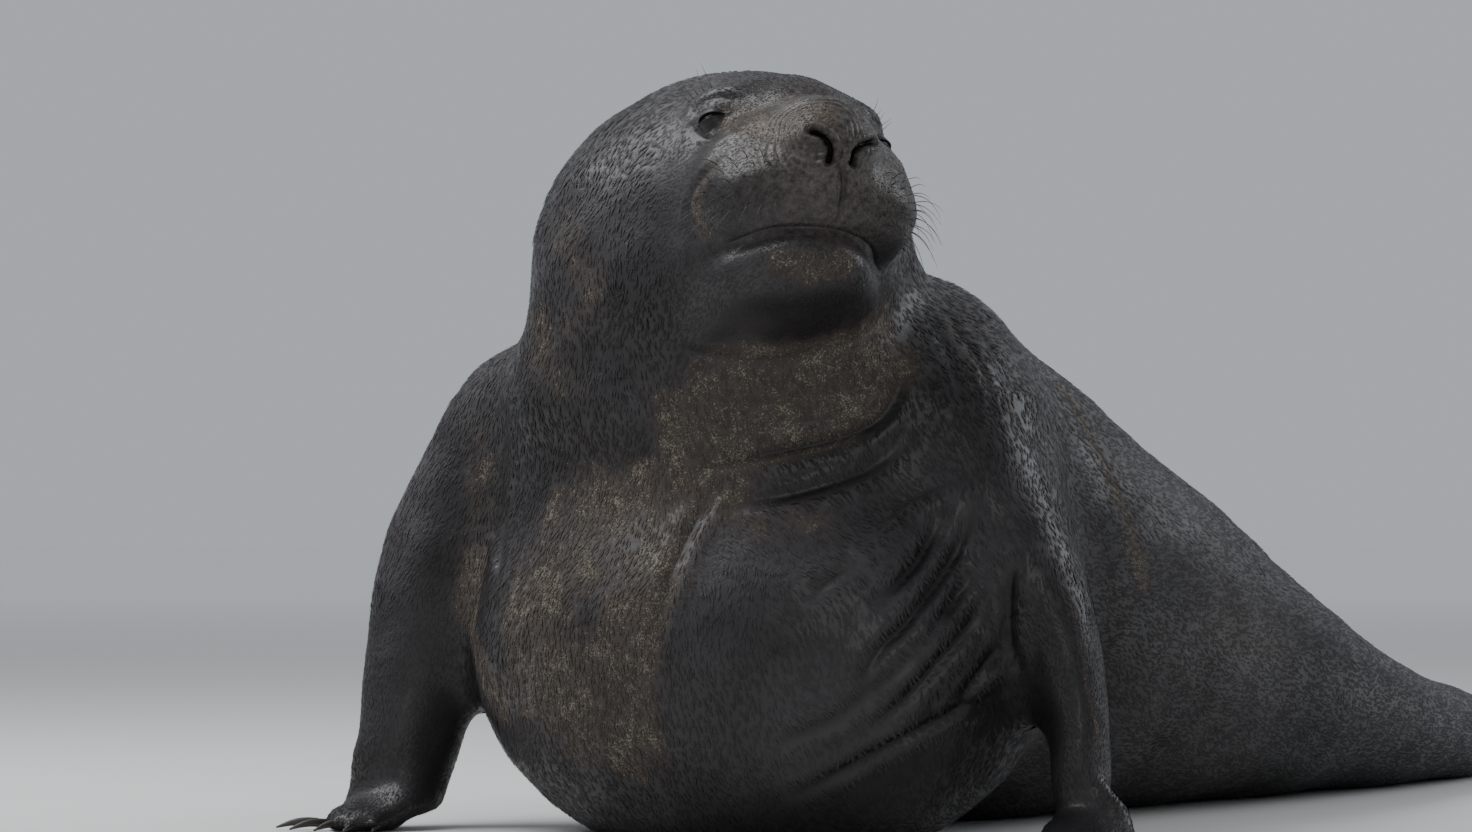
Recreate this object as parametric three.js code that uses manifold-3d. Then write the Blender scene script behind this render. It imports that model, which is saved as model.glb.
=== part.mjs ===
// A male elephant seal reared up on its fore flippers, at life size, as a still model.
// The flesh is one smooth field of rounded masses. It is meshed coarsely for the trunk and
// finely for the head and the flippers, and thin cuts part it into the named sub-parts.
// Units are millimetres and +Z is up. The animal faces -Y and its left side is +X.

import * as THREE from "three";
import { mergeVertices } from "three/addons/utils/BufferGeometryUtils.js";
import Module from "manifold-3d";

const wasm = await Module();
wasm.setup();

// Sizes of the trunk, from the tail to the top of the neck.
// A station has the centre of its section, the half width, the reach to the back and to the
// belly, and the heading in degrees, turned from -Y towards the left side.
const TRUNK = {
  stations: [
    { at: [55, 3160, 85], half: 90, above: 45, below: 80, heading: -4 },
    { at: [45, 2960, 100], half: 165, above: 70, below: 110, heading: -3 },
    { at: [20, 2620, 135], half: 290, above: 110, below: 160, heading: -2 },
    { at: [-10, 2200, 190], half: 400, above: 140, below: 215, heading: 0 },
    { at: [-40, 1720, 275], half: 500, above: 225, below: 305, heading: 2 },
    { at: [-60, 1220, 390], half: 560, above: 355, below: 420, heading: 5 },
    { at: [-70, 740, 510], half: 590, above: 450, below: 540, heading: 8 },
    { at: [-75, 330, 680], half: 570, above: 465, below: 570, heading: 11 },
    { at: [-78, 190, 830], half: 548, above: 440, below: 500, heading: 15 },
    { at: [-72, 100, 945], half: 480, above: 378, below: 415, heading: 19 },
    { at: [-64, 55, 1050], half: 385, above: 335, below: 362, heading: 24 },
  ],
  endReach: [60, 425],
  steps: 80,
};
const CHEST = { at: [-45, 150, 370], reach: [605, 500, 450], blend: 120 };

// Sizes of the head. Its frame starts midway between the eyes, and each mass has its centre
// and its reach to the left side, forwards and upwards in that frame. The masses of a group
// flow into each other, the groups meet in a crease, and a paired mass is on both sides.
const HEAD_PLACE = [240, -145, 1354];
const HEAD_TURN = { yaw: 56, pitch: 20, roll: -8 };
const HEAD_BLEND = 150;
const GROUP_BLEND = 22;
const SKULL = [
  { at: [0, -100, -36], reach: [180, 220, 166], blend: 90 },
  { at: [0, -210, -10], reach: [170, 170, 160], blend: 80 },
  { at: [106, -110, -190], reach: [96, 180, 180], blend: 100, paired: true },
  { at: [112, -30, 36], reach: [66, 62, 34], blend: 50, paired: true },
];
const MUZZLE = [
  { at: [0, 50, -88], reach: [120, 170, 110], blend: 70 },
  { at: [115, 20, -130], reach: [88, 130, 100], blend: 60, paired: true },
  { at: [0, 170, -125], reach: [90, 92, 82], blend: 60 },
  { at: [102, 48, -200], reach: [106, 146, 82], blend: 60, paired: true },
  { at: [0, 125, -215], reach: [120, 100, 66], blend: 50 },
];
const JAW = [
  { at: [0, -45, -315], reach: [165, 182, 85], blend: 40 },
  { at: [0, 85, -325], reach: [105, 88, 68], blend: 50 },
];
// The eyeball is sunk in the head, and a flattened ring of skin makes its two lids.
const EYE = { from: [60, -20, 0], toward: [106, 24, -12], radius: 30, sunk: 20 };
const LIDS = { ring: 26, thick: 10, wider: 1.45, flatter: 0.7, slant: -8 };
// The mouth is a groove round the muzzle, level in the head's frame, from corner to corner.
const MOUTH = { from: [0, 0, -272], corner: 98, steps: 16, depth: 8 };
// Each nostril is a crescent groove on the front of the nose.
const NOSTRIL = { from: [0, 120, -135], side: 34, bow: 16, up: -118, down: -172, depth: 9 };
const EAR = { from: [100, -150, -40], radius: 9 };
const GROOVE_SIDES = 6;

// Sizes of the flippers, from the root to the tip. A station has the centre of its section,
// the half width, the half thickness, and the direction across its width.
const FORE_LEFT = {
  stations: [
    { at: [380, 230, 760], half: 200, thick: 150, across: [0.45, -0.89, 0] },
    { at: [560, 185, 500], half: 165, thick: 105, across: [0.55, -0.83, 0] },
    { at: [660, 165, 270], half: 125, thick: 68, across: [0.6, -0.8, 0] },
    { at: [700, 130, 100], half: 110, thick: 55, across: [0.5, -0.87, 0] },
    { at: [760, 50, 34], half: 105, thick: 34, across: [0.85, 0.5, 0] },
    { at: [800, -60, 20], half: 95, thick: 22, across: [0.9, 0.43, 0] },
  ],
  endReach: [150, 90],
  steps: 30,
};
const FORE_RIGHT = {
  stations: [
    { at: [-560, 150, 805], half: 220, thick: 190, across: [-0.3, -0.95, 0] },
    { at: [-690, 60, 550], half: 180, thick: 170, across: [-0.3, -0.95, 0] },
    { at: [-738, -30, 320], half: 135, thick: 118, across: [-0.25, -0.97, 0] },
    { at: [-745, -90, 130], half: 110, thick: 78, across: [-0.3, -0.95, 0] },
    { at: [-752, -170, 36], half: 105, thick: 36, across: [-0.9, 0.43, 0] },
    { at: [-770, -270, 20], half: 95, thick: 22, across: [-0.95, 0.3, 0] },
  ],
  endReach: [150, 90],
  steps: 30,
};
const FORE_BLEND = 110;
const HIND_LEFT = {
  stations: [
    { at: [150, 3040, 62], half: 70, thick: 55, across: [1, 0, 0] },
    { at: [215, 3250, 42], half: 85, thick: 34, across: [1, -0.3, 0] },
    { at: [290, 3430, 26], half: 130, thick: 22, across: [1, -0.4, 0] },
  ],
  endReach: [80, 70],
  steps: 16,
};
const HIND_RIGHT = {
  stations: [
    { at: [-30, 3040, 62], half: 70, thick: 55, across: [1, 0, 0] },
    { at: [-95, 3250, 42], half: 85, thick: 34, across: [1, 0.3, 0] },
    { at: [-170, 3430, 26], half: 130, thick: 22, across: [1, 0.4, 0] },
  ],
  endReach: [80, 70],
  steps: 16,
};
const TAIL = {
  stations: [
    { at: [58, 3080, 90], half: 60, thick: 45, across: [1, 0, 0] },
    { at: [60, 3220, 60], half: 42, thick: 30, across: [1, 0, 0] },
    { at: [60, 3330, 40], half: 26, thick: 18, across: [1, 0, 0] },
  ],
  endReach: [60, 30],
  steps: 12,
};
const HIND_BLEND = 50;
// Digits fan out from the wrist to the tips. The spread is in degrees to either side.
const FORE_DIGITS = { reach: [205, 200, 185, 165, 140], spread: 30, root: 25, tip: 13, nail: 46 };
const HIND_DIGITS = { reach: [250, 205, 185, 205, 250], spread: 32, root: 24, tip: 12, nail: 14 };
const DIGIT_SIDES = 7;

// Sizes of the meshes and the cuts
const TRUNK_CELL = 90;
const HEAD_CELL = 33;
const FORE_CELL = 42;
const HIND_CELL = 36;
const RELAX_ROUNDS = 3;
const CUT_GAP = 0.3;
const WELD = 0.05;
const FAR = 9000;
const HEAD_FIELD_REACH = 900;

const SKIN = { color: 0x47474b, roughness: 0.55, metalness: 0 };
const WET_EYE = { color: 0x0c0a0a, roughness: 0.1, metalness: 0 };

const trunk = limbOf(TRUNK);
const flippers = [
  { limb: limbOf(FORE_LEFT), blend: FORE_BLEND },
  { limb: limbOf(FORE_RIGHT), blend: FORE_BLEND },
  { limb: limbOf(HIND_LEFT), blend: HIND_BLEND },
  { limb: limbOf(HIND_RIGHT), blend: HIND_BLEND },
  { limb: limbOf(TAIL), blend: HIND_BLEND },
];
const head = turnedAxes(HEAD_PLACE, HEAD_TURN);

// Axes of a heading: the left side, forwards and upwards
function turnedAxes(place, { yaw, pitch, roll }) {
  const turn = THREE.MathUtils.degToRad(yaw);
  const lift = THREE.MathUtils.degToRad(pitch);
  const lean = THREE.MathUtils.degToRad(roll);
  const forward = new THREE.Vector3(
    Math.sin(turn) * Math.cos(lift),
    -Math.cos(turn) * Math.cos(lift),
    Math.sin(lift),
  );
  const left = new THREE.Vector3(Math.cos(turn), Math.sin(turn), 0).applyAxisAngle(forward, lean);
  const up = forward.clone().cross(left);
  return { origin: new THREE.Vector3(...place), left, forward, up };
}

function toLocal(axes, p) {
  const q = p.clone().sub(axes.origin);
  return [q.dot(axes.left), q.dot(axes.forward), q.dot(axes.up)];
}

function toWorld(axes, [left, forward, up]) {
  return axes.origin
    .clone()
    .addScaledVector(axes.left, left)
    .addScaledVector(axes.forward, forward)
    .addScaledVector(axes.up, up);
}

// Smooth joining of two distances, with a fillet of about the blend's size
function blended(a, b, blend) {
  const mix = Math.max(blend - Math.abs(a - b), 0) / blend;
  return Math.min(a, b) - (mix * mix * blend) / 4;
}

// Distance to an ellipsoid, near enough for a field
function ellipsoidDistance([x, y, z], [a, b, c]) {
  const k = Math.hypot(x / a, y / b, z / c);
  const g = Math.hypot(x / (a * a), y / (b * b), z / (c * c));
  return g < 1e-9 ? -Math.min(a, b, c) : (k * (k - 1)) / g;
}

// Frames along a limb, each with the sizes of its section
function limbOf({ stations, endReach, steps }) {
  const smooth = (points) => new THREE.CatmullRomCurve3(points, false, "catmullrom");
  const headingSide = (heading) => {
    const turn = THREE.MathUtils.degToRad(heading);
    return [Math.cos(turn), Math.sin(turn), 0];
  };
  const centres = smooth(stations.map((s) => new THREE.Vector3(...s.at)));
  const sizes = smooth(
    stations.map((s) => new THREE.Vector3(s.half, s.above ?? s.thick, s.below ?? s.thick)),
  );
  const sides = smooth(
    stations.map((s) => new THREE.Vector3(...(s.across ?? headingSide(s.heading)))),
  );
  const frames = [];
  for (let i = 0; i <= steps; i++) {
    const t = i / steps;
    const tangent = centres.getTangent(t);
    const up = tangent.clone().cross(sides.getPoint(t)).normalize();
    const side = up.clone().cross(tangent).normalize();
    frames.push({ centre: centres.getPoint(t), tangent, side, up, size: sizes.getPoint(t) });
  }
  return { frames, endReach, reach: reachOf(frames) };
}

// Sphere that holds the whole limb
function reachOf(frames) {
  const box = new THREE.Box3().setFromPoints(frames.map((f) => f.centre));
  const widest = Math.max(...frames.map((f) => Math.max(f.size.x, f.size.y, f.size.z)));
  const sphere = box.getBoundingSphere(new THREE.Sphere());
  sphere.radius += widest;
  return sphere;
}

// Distance to a limb: the nearest place on its line gives the section
function limbDistance(p, { frames, endReach }) {
  const last = frames.length - 1;
  const along = (i) => p.clone().sub(frames[i].centre).dot(frames[i].tangent);
  let nearest = 0;
  for (let i = 1; i <= last; i++) {
    const closer = p.distanceToSquared(frames[i].centre) < p.distanceToSquared(frames[nearest].centre);
    nearest = closer ? i : nearest;
  }
  const at = THREE.MathUtils.clamp(along(nearest) < 0 ? nearest - 1 : nearest, 0, last - 1);
  const fromStart = along(at);
  const toEnd = -along(at + 1);
  const pastStart = at === 0 && fromStart < 0;
  const pastEnd = at === last - 1 && toEnd < 0;
  const share = pastStart ? 0 : THREE.MathUtils.clamp(fromStart / (fromStart + toEnd), 0, 1);
  const a = frames[at];
  const b = frames[at + 1];
  const rel = p.clone().sub(a.centre.clone().lerp(b.centre, share));
  const mix = (key) => THREE.MathUtils.lerp(rel.dot(a[key]), rel.dot(b[key]), share);
  const size = a.size.clone().lerp(b.size, share);
  const up = mix("up");
  const end = pastStart ? endReach[0] : endReach[1];
  return ellipsoidDistance(
    [mix("side"), pastStart || pastEnd ? mix("tangent") : 0, up],
    [size.x, end, up > 0 ? size.y : size.z],
  );
}

// Distance to the head's masses
function headDistance(p) {
  const q = toLocal(head, p);
  let whole = Infinity;
  for (const masses of [SKULL, MUZZLE, JAW]) {
    let group = Infinity;
    for (const { at, reach, blend, paired } of masses) {
      for (const side of paired ? [1, -1] : [1]) {
        const d = ellipsoidDistance([q[0] - side * at[0], q[1] - at[1], q[2] - at[2]], reach);
        group = group === Infinity ? d : blended(group, d, blend);
      }
    }
    whole = whole === Infinity ? group : blended(whole, group, GROUP_BLEND);
  }
  return whole;
}

// Distance to the whole of the flesh
function fleshDistance(p) {
  let d = limbDistance(p, trunk);
  const chest = [p.x - CHEST.at[0], p.y - CHEST.at[1], p.z - CHEST.at[2]];
  d = blended(d, ellipsoidDistance(chest, CHEST.reach), CHEST.blend);
  if (p.distanceTo(head.origin) < HEAD_FIELD_REACH) d = blended(d, headDistance(p), HEAD_BLEND);
  for (const { limb, blend } of flippers) {
    if (limb.reach.distanceToPoint(p) < 2 * blend) d = blended(d, limbDistance(p, limb), blend);
  }
  return d;
}

// Slope of the field at a point
function slopeAt(field, p, step) {
  const g = new THREE.Vector3();
  for (const axis of ["x", "y", "z"]) {
    const forth = p.clone();
    const back = p.clone();
    forth[axis] += step;
    back[axis] -= step;
    g[axis] = (field(forth) - field(back)) / (2 * step);
  }
  return g;
}

// Moves a point onto the surface of the field
function settled(field, p, step) {
  for (let i = 0; i < 4; i++) {
    const g = slopeAt(field, p, step);
    const steepness = Math.max(g.lengthSq(), 0.05);
    p.addScaledVector(g, -THREE.MathUtils.clamp(field(p) / steepness, -step * 8, step * 8));
  }
  return p;
}

// Evens out the vertices and brings them onto the surface of the field
function relax(points, triangles, free, field, cell) {
  const around = points.map(() => new Set());
  for (let i = 0; i < triangles.length; i += 3) {
    for (let k = 0; k < 3; k++) {
      around[triangles[i + k]].add(triangles[i + ((k + 1) % 3)]);
      around[triangles[i + k]].add(triangles[i + ((k + 2) % 3)]);
    }
  }
  for (let round = 0; round < RELAX_ROUNDS; round++) {
    const moved = points.map((point, i) => {
      const mean = new THREE.Vector3();
      for (const j of around[i]) mean.add(points[j]);
      return point.clone().lerp(mean.divideScalar(around[i].size), 0.5);
    });
    points.forEach((point, i) => {
      if (free[i]) point.copy(settled(field, moved[i], cell * 0.1));
    });
  }
}

// Closed mesh of the field inside a box. Each cell that the surface crosses has one vertex,
// and each crossed edge of the grid joins its four cells with a face.
function meshOf(field, low, high, cell) {
  const count = low.map((v, i) => Math.ceil((high[i] - v) / cell) + 1);
  const index = (i, j, k) => (k * count[1] + j) * count[0] + i;
  const values = new Float64Array(count[0] * count[1] * count[2]);
  const p = new THREE.Vector3();
  for (let k = 0; k < count[2]; k++) {
    for (let j = 0; j < count[1]; j++) {
      for (let i = 0; i < count[0]; i++) {
        const rim =
          !i || !j || !k || i === count[0] - 1 || j === count[1] - 1 || k === count[2] - 1;
        p.set(low[0] + i * cell, low[1] + j * cell, low[2] + k * cell);
        const d = field(p);
        values[index(i, j, k)] = rim ? Math.max(d, cell * 0.4) : d;
      }
    }
  }
  const vertexOf = new Map();
  const points = [];
  const free = [];
  const cellVertex = (i, j, k) => {
    const key = index(i, j, k);
    if (vertexOf.has(key)) return vertexOf.get(key);
    const sum = new THREE.Vector3();
    let crossings = 0;
    for (let e = 0; e < 12; e++) {
      const axis = e >> 2;
      const base = [0, 0, 0];
      base[(axis + 1) % 3] = e & 1;
      base[(axis + 2) % 3] = (e >> 1) & 1;
      const tip = [...base];
      tip[axis] = 1;
      const a = values[index(i + base[0], j + base[1], k + base[2])];
      const b = values[index(i + tip[0], j + tip[1], k + tip[2])];
      if (a < 0 === b < 0) continue;
      const t = a / (a - b);
      base[axis] = t;
      sum.add(new THREE.Vector3(...base));
      crossings++;
    }
    sum.divideScalar(crossings);
    const v = new THREE.Vector3(i + sum.x, j + sum.y, k + sum.z).multiplyScalar(cell);
    v.add(new THREE.Vector3(...low));
    const inner =
      i > 0 && j > 0 && k > 0 && i < count[0] - 2 && j < count[1] - 2 && k < count[2] - 2;
    points.push(v);
    free.push(inner);
    vertexOf.set(key, points.length - 1);
    return points.length - 1;
  };
  const triangles = [];
  for (let k = 0; k < count[2] - 1; k++) {
    for (let j = 0; j < count[1] - 1; j++) {
      for (let i = 0; i < count[0] - 1; i++) {
        const here = values[index(i, j, k)] < 0;
        for (let axis = 0; axis < 3; axis++) {
          const step = [0, 0, 0];
          step[axis] = 1;
          const there = values[index(i + step[0], j + step[1], k + step[2])] < 0;
          if (here === there) continue;
          const u = [0, 0, 0];
          const w = [0, 0, 0];
          u[(axis + 1) % 3] = 1;
          w[(axis + 2) % 3] = 1;
          const a = cellVertex(i - u[0] - w[0], j - u[1] - w[1], k - u[2] - w[2]);
          const b = cellVertex(i - w[0], j - w[1], k - w[2]);
          const c = cellVertex(i, j, k);
          const d = cellVertex(i - u[0], j - u[1], k - u[2]);
          const round = here ? [a, b, c, d] : [a, d, c, b];
          const short =
            points[round[0]].distanceToSquared(points[round[2]]) <
            points[round[1]].distanceToSquared(points[round[3]]);
          const [e, f, g, h] = short ? round : [round[1], round[2], round[3], round[0]];
          triangles.push(e, f, g, e, g, h);
        }
      }
    }
  }
  relax(points, triangles, free, field, cell);
  return new wasm.Manifold(
    new wasm.Mesh({
      numProp: 3,
      vertProperties: new Float32Array(points.flatMap((v) => [v.x, v.y, v.z])),
      triVerts: new Uint32Array(triangles),
    }),
  );
}

// Solid of a three.js geometry
function solidOf(geometry) {
  const g = geometry.clone();
  g.deleteAttribute("normal");
  g.deleteAttribute("uv");
  const merged = mergeVertices(g, 1e-4);
  return new wasm.Manifold(
    new wasm.Mesh({
      numProp: 3,
      vertProperties: new Float32Array(merged.attributes.position.array),
      triVerts: new Uint32Array(merged.index.array),
    }),
  );
}

// The half of space behind a plane, as a large box, held back by half the gap of a cut
function behind(point, normal) {
  const n = new THREE.Vector3(...normal).normalize();
  const box = new THREE.BoxGeometry(FAR, FAR, FAR);
  box.applyQuaternion(new THREE.Quaternion().setFromUnitVectors(new THREE.Vector3(0, 0, 1), n));
  const centre = new THREE.Vector3(...point).addScaledVector(n, -FAR / 2 - CUT_GAP / 2);
  box.translate(centre.x, centre.y, centre.z);
  return solidOf(box);
}

function beyond(point, normal) {
  return behind(
    point,
    normal.map((v) => -v),
  );
}

// Keeps the largest closed surface of a solid
function largest(solid) {
  const pieces = solid.decompose();
  return pieces.reduce((best, piece) => (piece.volume() > best.volume() ? piece : best));
}

// Mesh of a solid, with the vertices that a cut leaves almost together welded into one
function geometryOf(solid) {
  const mesh = solid.getMesh();
  const position = new Float32Array(mesh.numVert * 3);
  for (let i = 0; i < mesh.numVert; i++) {
    const start = i * mesh.numProp;
    position.set(mesh.vertProperties.subarray(start, start + 3), i * 3);
  }
  const loose = new THREE.BufferGeometry();
  loose.setAttribute("position", new THREE.BufferAttribute(position, 3));
  loose.setIndex(new THREE.BufferAttribute(new Uint32Array(mesh.triVerts), 1));
  const welded = mergeVertices(loose, WELD);
  const corners = welded.index.array;
  const kept = [];
  for (let i = 0; i < corners.length; i += 3) {
    const [a, b, c] = corners.slice(i, i + 3);
    if (a !== b && b !== c && c !== a) kept.push(a, b, c);
  }
  welded.setIndex(kept);
  return welded;
}

// A box in a frame of axes, as a solid, larger all round by a margin
function boxIn(axes, low, high, margin) {
  const size = high.map((v, i) => v - low[i] + 2 * margin);
  const box = new THREE.BoxGeometry(...size);
  const centre = toWorld(
    axes,
    high.map((v, i) => (v + low[i]) / 2),
  );
  const turn = new THREE.Matrix4().makeBasis(axes.left, axes.up.clone().cross(axes.left), axes.up);
  box.applyMatrix4(turn.setPosition(centre));
  return solidOf(box);
}

const group = new THREE.Group();
function addNode(name, solid, look) {
  const mesh = new THREE.Mesh(geometryOf(largest(solid)), new THREE.MeshStandardMaterial(look));
  mesh.name = name;
  group.add(mesh);
}

// The part of a solid inside a region, and the rest, with the gap of a cut between them
function inside(solid, region) {
  return solid.intersect(boxIn(region.axes, region.low, region.high, -CUT_GAP / 2));
}

function outside(solid, region) {
  return solid.subtract(boxIn(region.axes, region.low, region.high, CUT_GAP / 2));
}

// Closed solid of the flesh in a box, at a cell size, cut off at the floor
function fleshIn({ low, high, cell }) {
  return meshOf(fleshDistance, low, high, cell).intersect(floor);
}

const floor = beyond([0, 0, -CUT_GAP / 2], [0, 0, 1]);
const world = {
  origin: new THREE.Vector3(),
  left: new THREE.Vector3(1, 0, 0),
  forward: new THREE.Vector3(0, 1, 0),
  up: new THREE.Vector3(0, 0, 1),
};
const boxes = {
  trunk: { low: [-1020, -800, -120], high: [1020, 3700, 1720], cell: TRUNK_CELL },
  head: { low: [-500, -700, 694], high: [620, 320, 1620], cell: HEAD_CELL },
  foreLeft: { low: [385, -412, -90], high: [1000, 560, 760], cell: FORE_CELL },
  foreRight: { low: [-1012, -550, -92], high: [-400, 560, 760], cell: FORE_CELL },
  hind: { low: [-460, 2880, -80], high: [560, 3700, 300], cell: HIND_CELL },
};
const regions = {
  head: { axes: head, low: [-300, -215, -500], high: [300, 700, 500] },
  snout: { axes: head, low: [-500, 40, -272], high: [500, 700, 500] },
  jaw: { axes: head, low: [-500, -80, -600], high: [500, 700, -272] },
  foreLeft: { axes: world, low: [560, -420, -200], high: [1200, 330, 600] },
  foreRight: { axes: world, low: [-1200, -560, -200], high: [-600, 330, 600] },
  hind: { axes: world, low: [-900, 3040, -200], high: [900, 4000, 900] },
  tail: { axes: world, low: [5, 3040, -200], high: [115, 4000, 900] },
};
const partings = [
  { name: "neck", point: [-80, 150, 880], normal: [0, -0.45, 0.89] },
  { name: "chest", point: [0, 560, 0], normal: [0, -1, 0.1] },
  { name: "belly", point: [0, 1330, 0], normal: [0, -1, 0.1] },
  { name: "loin", point: [0, 2080, 0], normal: [0, -1, 0.05] },
];

// First point of the surface that a ray from inside the flesh meets
function surfaceFrom(start, direction) {
  const p = start.clone();
  const unit = direction.clone().normalize();
  for (let i = 0; i < 200; i++) {
    const d = fleshDistance(p);
    if (d > -0.5) break;
    p.addScaledVector(unit, Math.max(-d * 0.6, 0.5));
  }
  return p;
}

// Surface point of the head, by a ray given in its frame, and the normal there
function headSurface(from, toward) {
  const start = toWorld(head, from);
  const point = surfaceFrom(start, toWorld(head, toward).sub(head.origin));
  return { point, normal: slopeAt(fleshDistance, point, 4).normalize() };
}

// Solid round bar along a smooth line
function barAlong(points, radius) {
  const line = new THREE.CatmullRomCurve3(points);
  const section = new THREE.Shape();
  for (let i = 0; i < GROOVE_SIDES; i++) {
    const turn = (i / GROOVE_SIDES) * 2 * Math.PI;
    section[i ? "lineTo" : "moveTo"](radius * Math.cos(turn), radius * Math.sin(turn));
  }
  const steps = points.length * 2;
  return solidOf(new THREE.ExtrudeGeometry(section, { steps, extrudePath: line }));
}

function mouthGroove() {
  const points = [];
  for (let i = 0; i <= MOUTH.steps; i++) {
    const turn = THREE.MathUtils.degToRad(MOUTH.corner * ((2 * i) / MOUTH.steps - 1));
    points.push(headSurface(MOUTH.from, [Math.sin(turn), Math.cos(turn), 0]).point);
  }
  return barAlong(points, MOUTH.depth);
}

function nostrilGroove(side) {
  const points = [0, 0.33, 0.67, 1].map((share) => {
    const up = THREE.MathUtils.lerp(NOSTRIL.up, NOSTRIL.down, share);
    const bow = NOSTRIL.bow * (1 - Math.sin(share * Math.PI));
    const toward = [side * (NOSTRIL.side + bow), 120, up - NOSTRIL.from[2]];
    return headSurface(NOSTRIL.from, toward).point;
  });
  return barAlong(points, NOSTRIL.depth);
}

function mirrored([left, forward, up], side) {
  return [side * left, forward, up];
}

function eyeOf(side) {
  const { point, normal } = headSurface(mirrored(EYE.from, side), mirrored(EYE.toward, side));
  const centre = point.clone().addScaledVector(normal, -EYE.sunk);
  const ball = (radius) => {
    const sphere = new THREE.SphereGeometry(radius, 14, 8);
    sphere.translate(centre.x, centre.y, centre.z);
    return solidOf(sphere);
  };
  const ring = new THREE.TorusGeometry(LIDS.ring, LIDS.thick, 8, 20);
  ring.scale(LIDS.wider, LIDS.flatter, 1);
  ring.rotateZ(THREE.MathUtils.degToRad(LIDS.slant * side));
  const across = head.up.clone().cross(normal).normalize();
  const upward = normal.clone().cross(across);
  ring.applyMatrix4(new THREE.Matrix4().makeBasis(across, upward, normal).setPosition(point));
  return { ball: ball(EYE.radius), socket: ball(EYE.radius + CUT_GAP), lids: solidOf(ring) };
}

function earOf(side) {
  const { point } = headSurface(mirrored(EAR.from, side), [side, 0, 0]);
  const sphere = new THREE.SphereGeometry(EAR.radius, 10, 8);
  sphere.translate(point.x, point.y, point.z);
  return solidOf(sphere);
}

// Tapered digit with rounded ends, from its root to its tip
function digitOf(root, tip, { root: thick, tip: thin }, nail) {
  const length = root.distanceTo(tip);
  const profile = [[0, -thick], [thick * 0.7, -thick * 0.7], [thick, 0], [thin, length]];
  profile.push([thin * 0.7, length + thin * 0.7], [thin * 0.45, length + thin]);
  profile.push([0, length + thin + nail]);
  const lathe = new THREE.LatheGeometry(
    profile.map(([x, y]) => new THREE.Vector2(x, y)),
    DIGIT_SIDES,
  );
  const up = new THREE.Vector3(0, 1, 0);
  const along = tip.clone().sub(root).normalize();
  lathe.applyQuaternion(new THREE.Quaternion().setFromUnitVectors(up, along));
  lathe.translate(root.x, root.y, root.z);
  return solidOf(lathe);
}

// Digits fan out over the blade of a flipper, about a station near its end
function withDigits(solid, { stations }, { reach, spread, root, tip, nail }, outer) {
  const from = new THREE.Vector3(...stations.at(-3).at);
  const to = new THREE.Vector3(...stations.at(-1).at);
  const along = to.clone().sub(from).setZ(0).normalize();
  const start = new THREE.Vector3(...stations.at(-2).at).addScaledVector(along, -60);
  let joined = solid;
  reach.forEach((length, i) => {
    const turn = THREE.MathUtils.degToRad(outer * spread * (1 - (2 * i) / (reach.length - 1)));
    const out = along.clone().applyAxisAngle(new THREE.Vector3(0, 0, 1), turn);
    const foot = start.clone().addScaledVector(out, 40).setZ(root * 0.9);
    const end = start.clone().addScaledVector(out, length).setZ(tip * 0.9);
    joined = joined.add(digitOf(foot, end, { root, tip }, nail));
  });
  return joined.intersect(floor);
}

function addHead() {
  let whole = inside(fleshIn(boxes.head), regions.head);
  for (const [side, name] of [[1, "left"], [-1, "right"]]) {
    const eye = eyeOf(side);
    whole = whole.add(eye.lids).subtract(eye.socket).subtract(earOf(side));
    whole = whole.subtract(nostrilGroove(side));
    addNode(`eye_${name}`, eye.ball, WET_EYE);
  }
  whole = whole.subtract(mouthGroove());
  addNode("snout", inside(whole, regions.snout), SKIN);
  addNode("lower_jaw", inside(whole, regions.jaw), SKIN);
  addNode("head", outside(outside(whole, regions.snout), regions.jaw), SKIN);
}

function addFlippers() {
  const left = inside(fleshIn(boxes.foreLeft), regions.foreLeft);
  const right = inside(fleshIn(boxes.foreRight), regions.foreRight);
  addNode("fore_flipper_left", withDigits(left, FORE_LEFT, FORE_DIGITS, -1), SKIN);
  addNode("fore_flipper_right", withDigits(right, FORE_RIGHT, FORE_DIGITS, 1), SKIN);
  const hind = inside(fleshIn(boxes.hind), regions.hind);
  addNode("tail", inside(hind, regions.tail), SKIN);
  const middle = [(regions.tail.low[0] + regions.tail.high[0]) / 2, 0, 0];
  const pair = outside(hind, regions.tail);
  const hindLeft = pair.intersect(beyond(middle, [1, 0, 0]));
  const hindRight = pair.intersect(behind(middle, [1, 0, 0]));
  addNode("hind_flipper_left", withDigits(hindLeft, HIND_LEFT, HIND_DIGITS, 1), SKIN);
  addNode("hind_flipper_right", withDigits(hindRight, HIND_RIGHT, HIND_DIGITS, 1), SKIN);
}

function addTrunk() {
  let rest = fleshIn(boxes.trunk);
  for (const name of ["head", "foreLeft", "foreRight", "hind"]) {
    rest = outside(rest, regions[name]);
  }
  for (const { name, point, normal } of partings) {
    addNode(name, rest.intersect(beyond(point, normal)), SKIN);
    rest = rest.intersect(behind(point, normal));
  }
  addNode("hips", rest, SKIN);
}

addHead();
addTrunk();
addFlippers();

// The origin goes to the middle of the model's box, at the floor
const box = new THREE.Box3().setFromObject(group);
const middle = box.getCenter(new THREE.Vector3());
for (const mesh of group.children) mesh.position.set(-middle.x, -middle.y, 0);

export default group;
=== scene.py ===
# %% [markdown]
# # Elephant seal, reared up on its fore flippers
#
# A young bull elephant seal, still wet, rears up to look at what came near. The CAD frame
# gives its solids, life-size, in metres. This script dresses them: one skin over all the
# flesh, wet eyes, claws, whiskers and a short flat coat.

import math

import bmesh
import bpy
import numpy as np
from mathutils import Matrix, Vector


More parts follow.
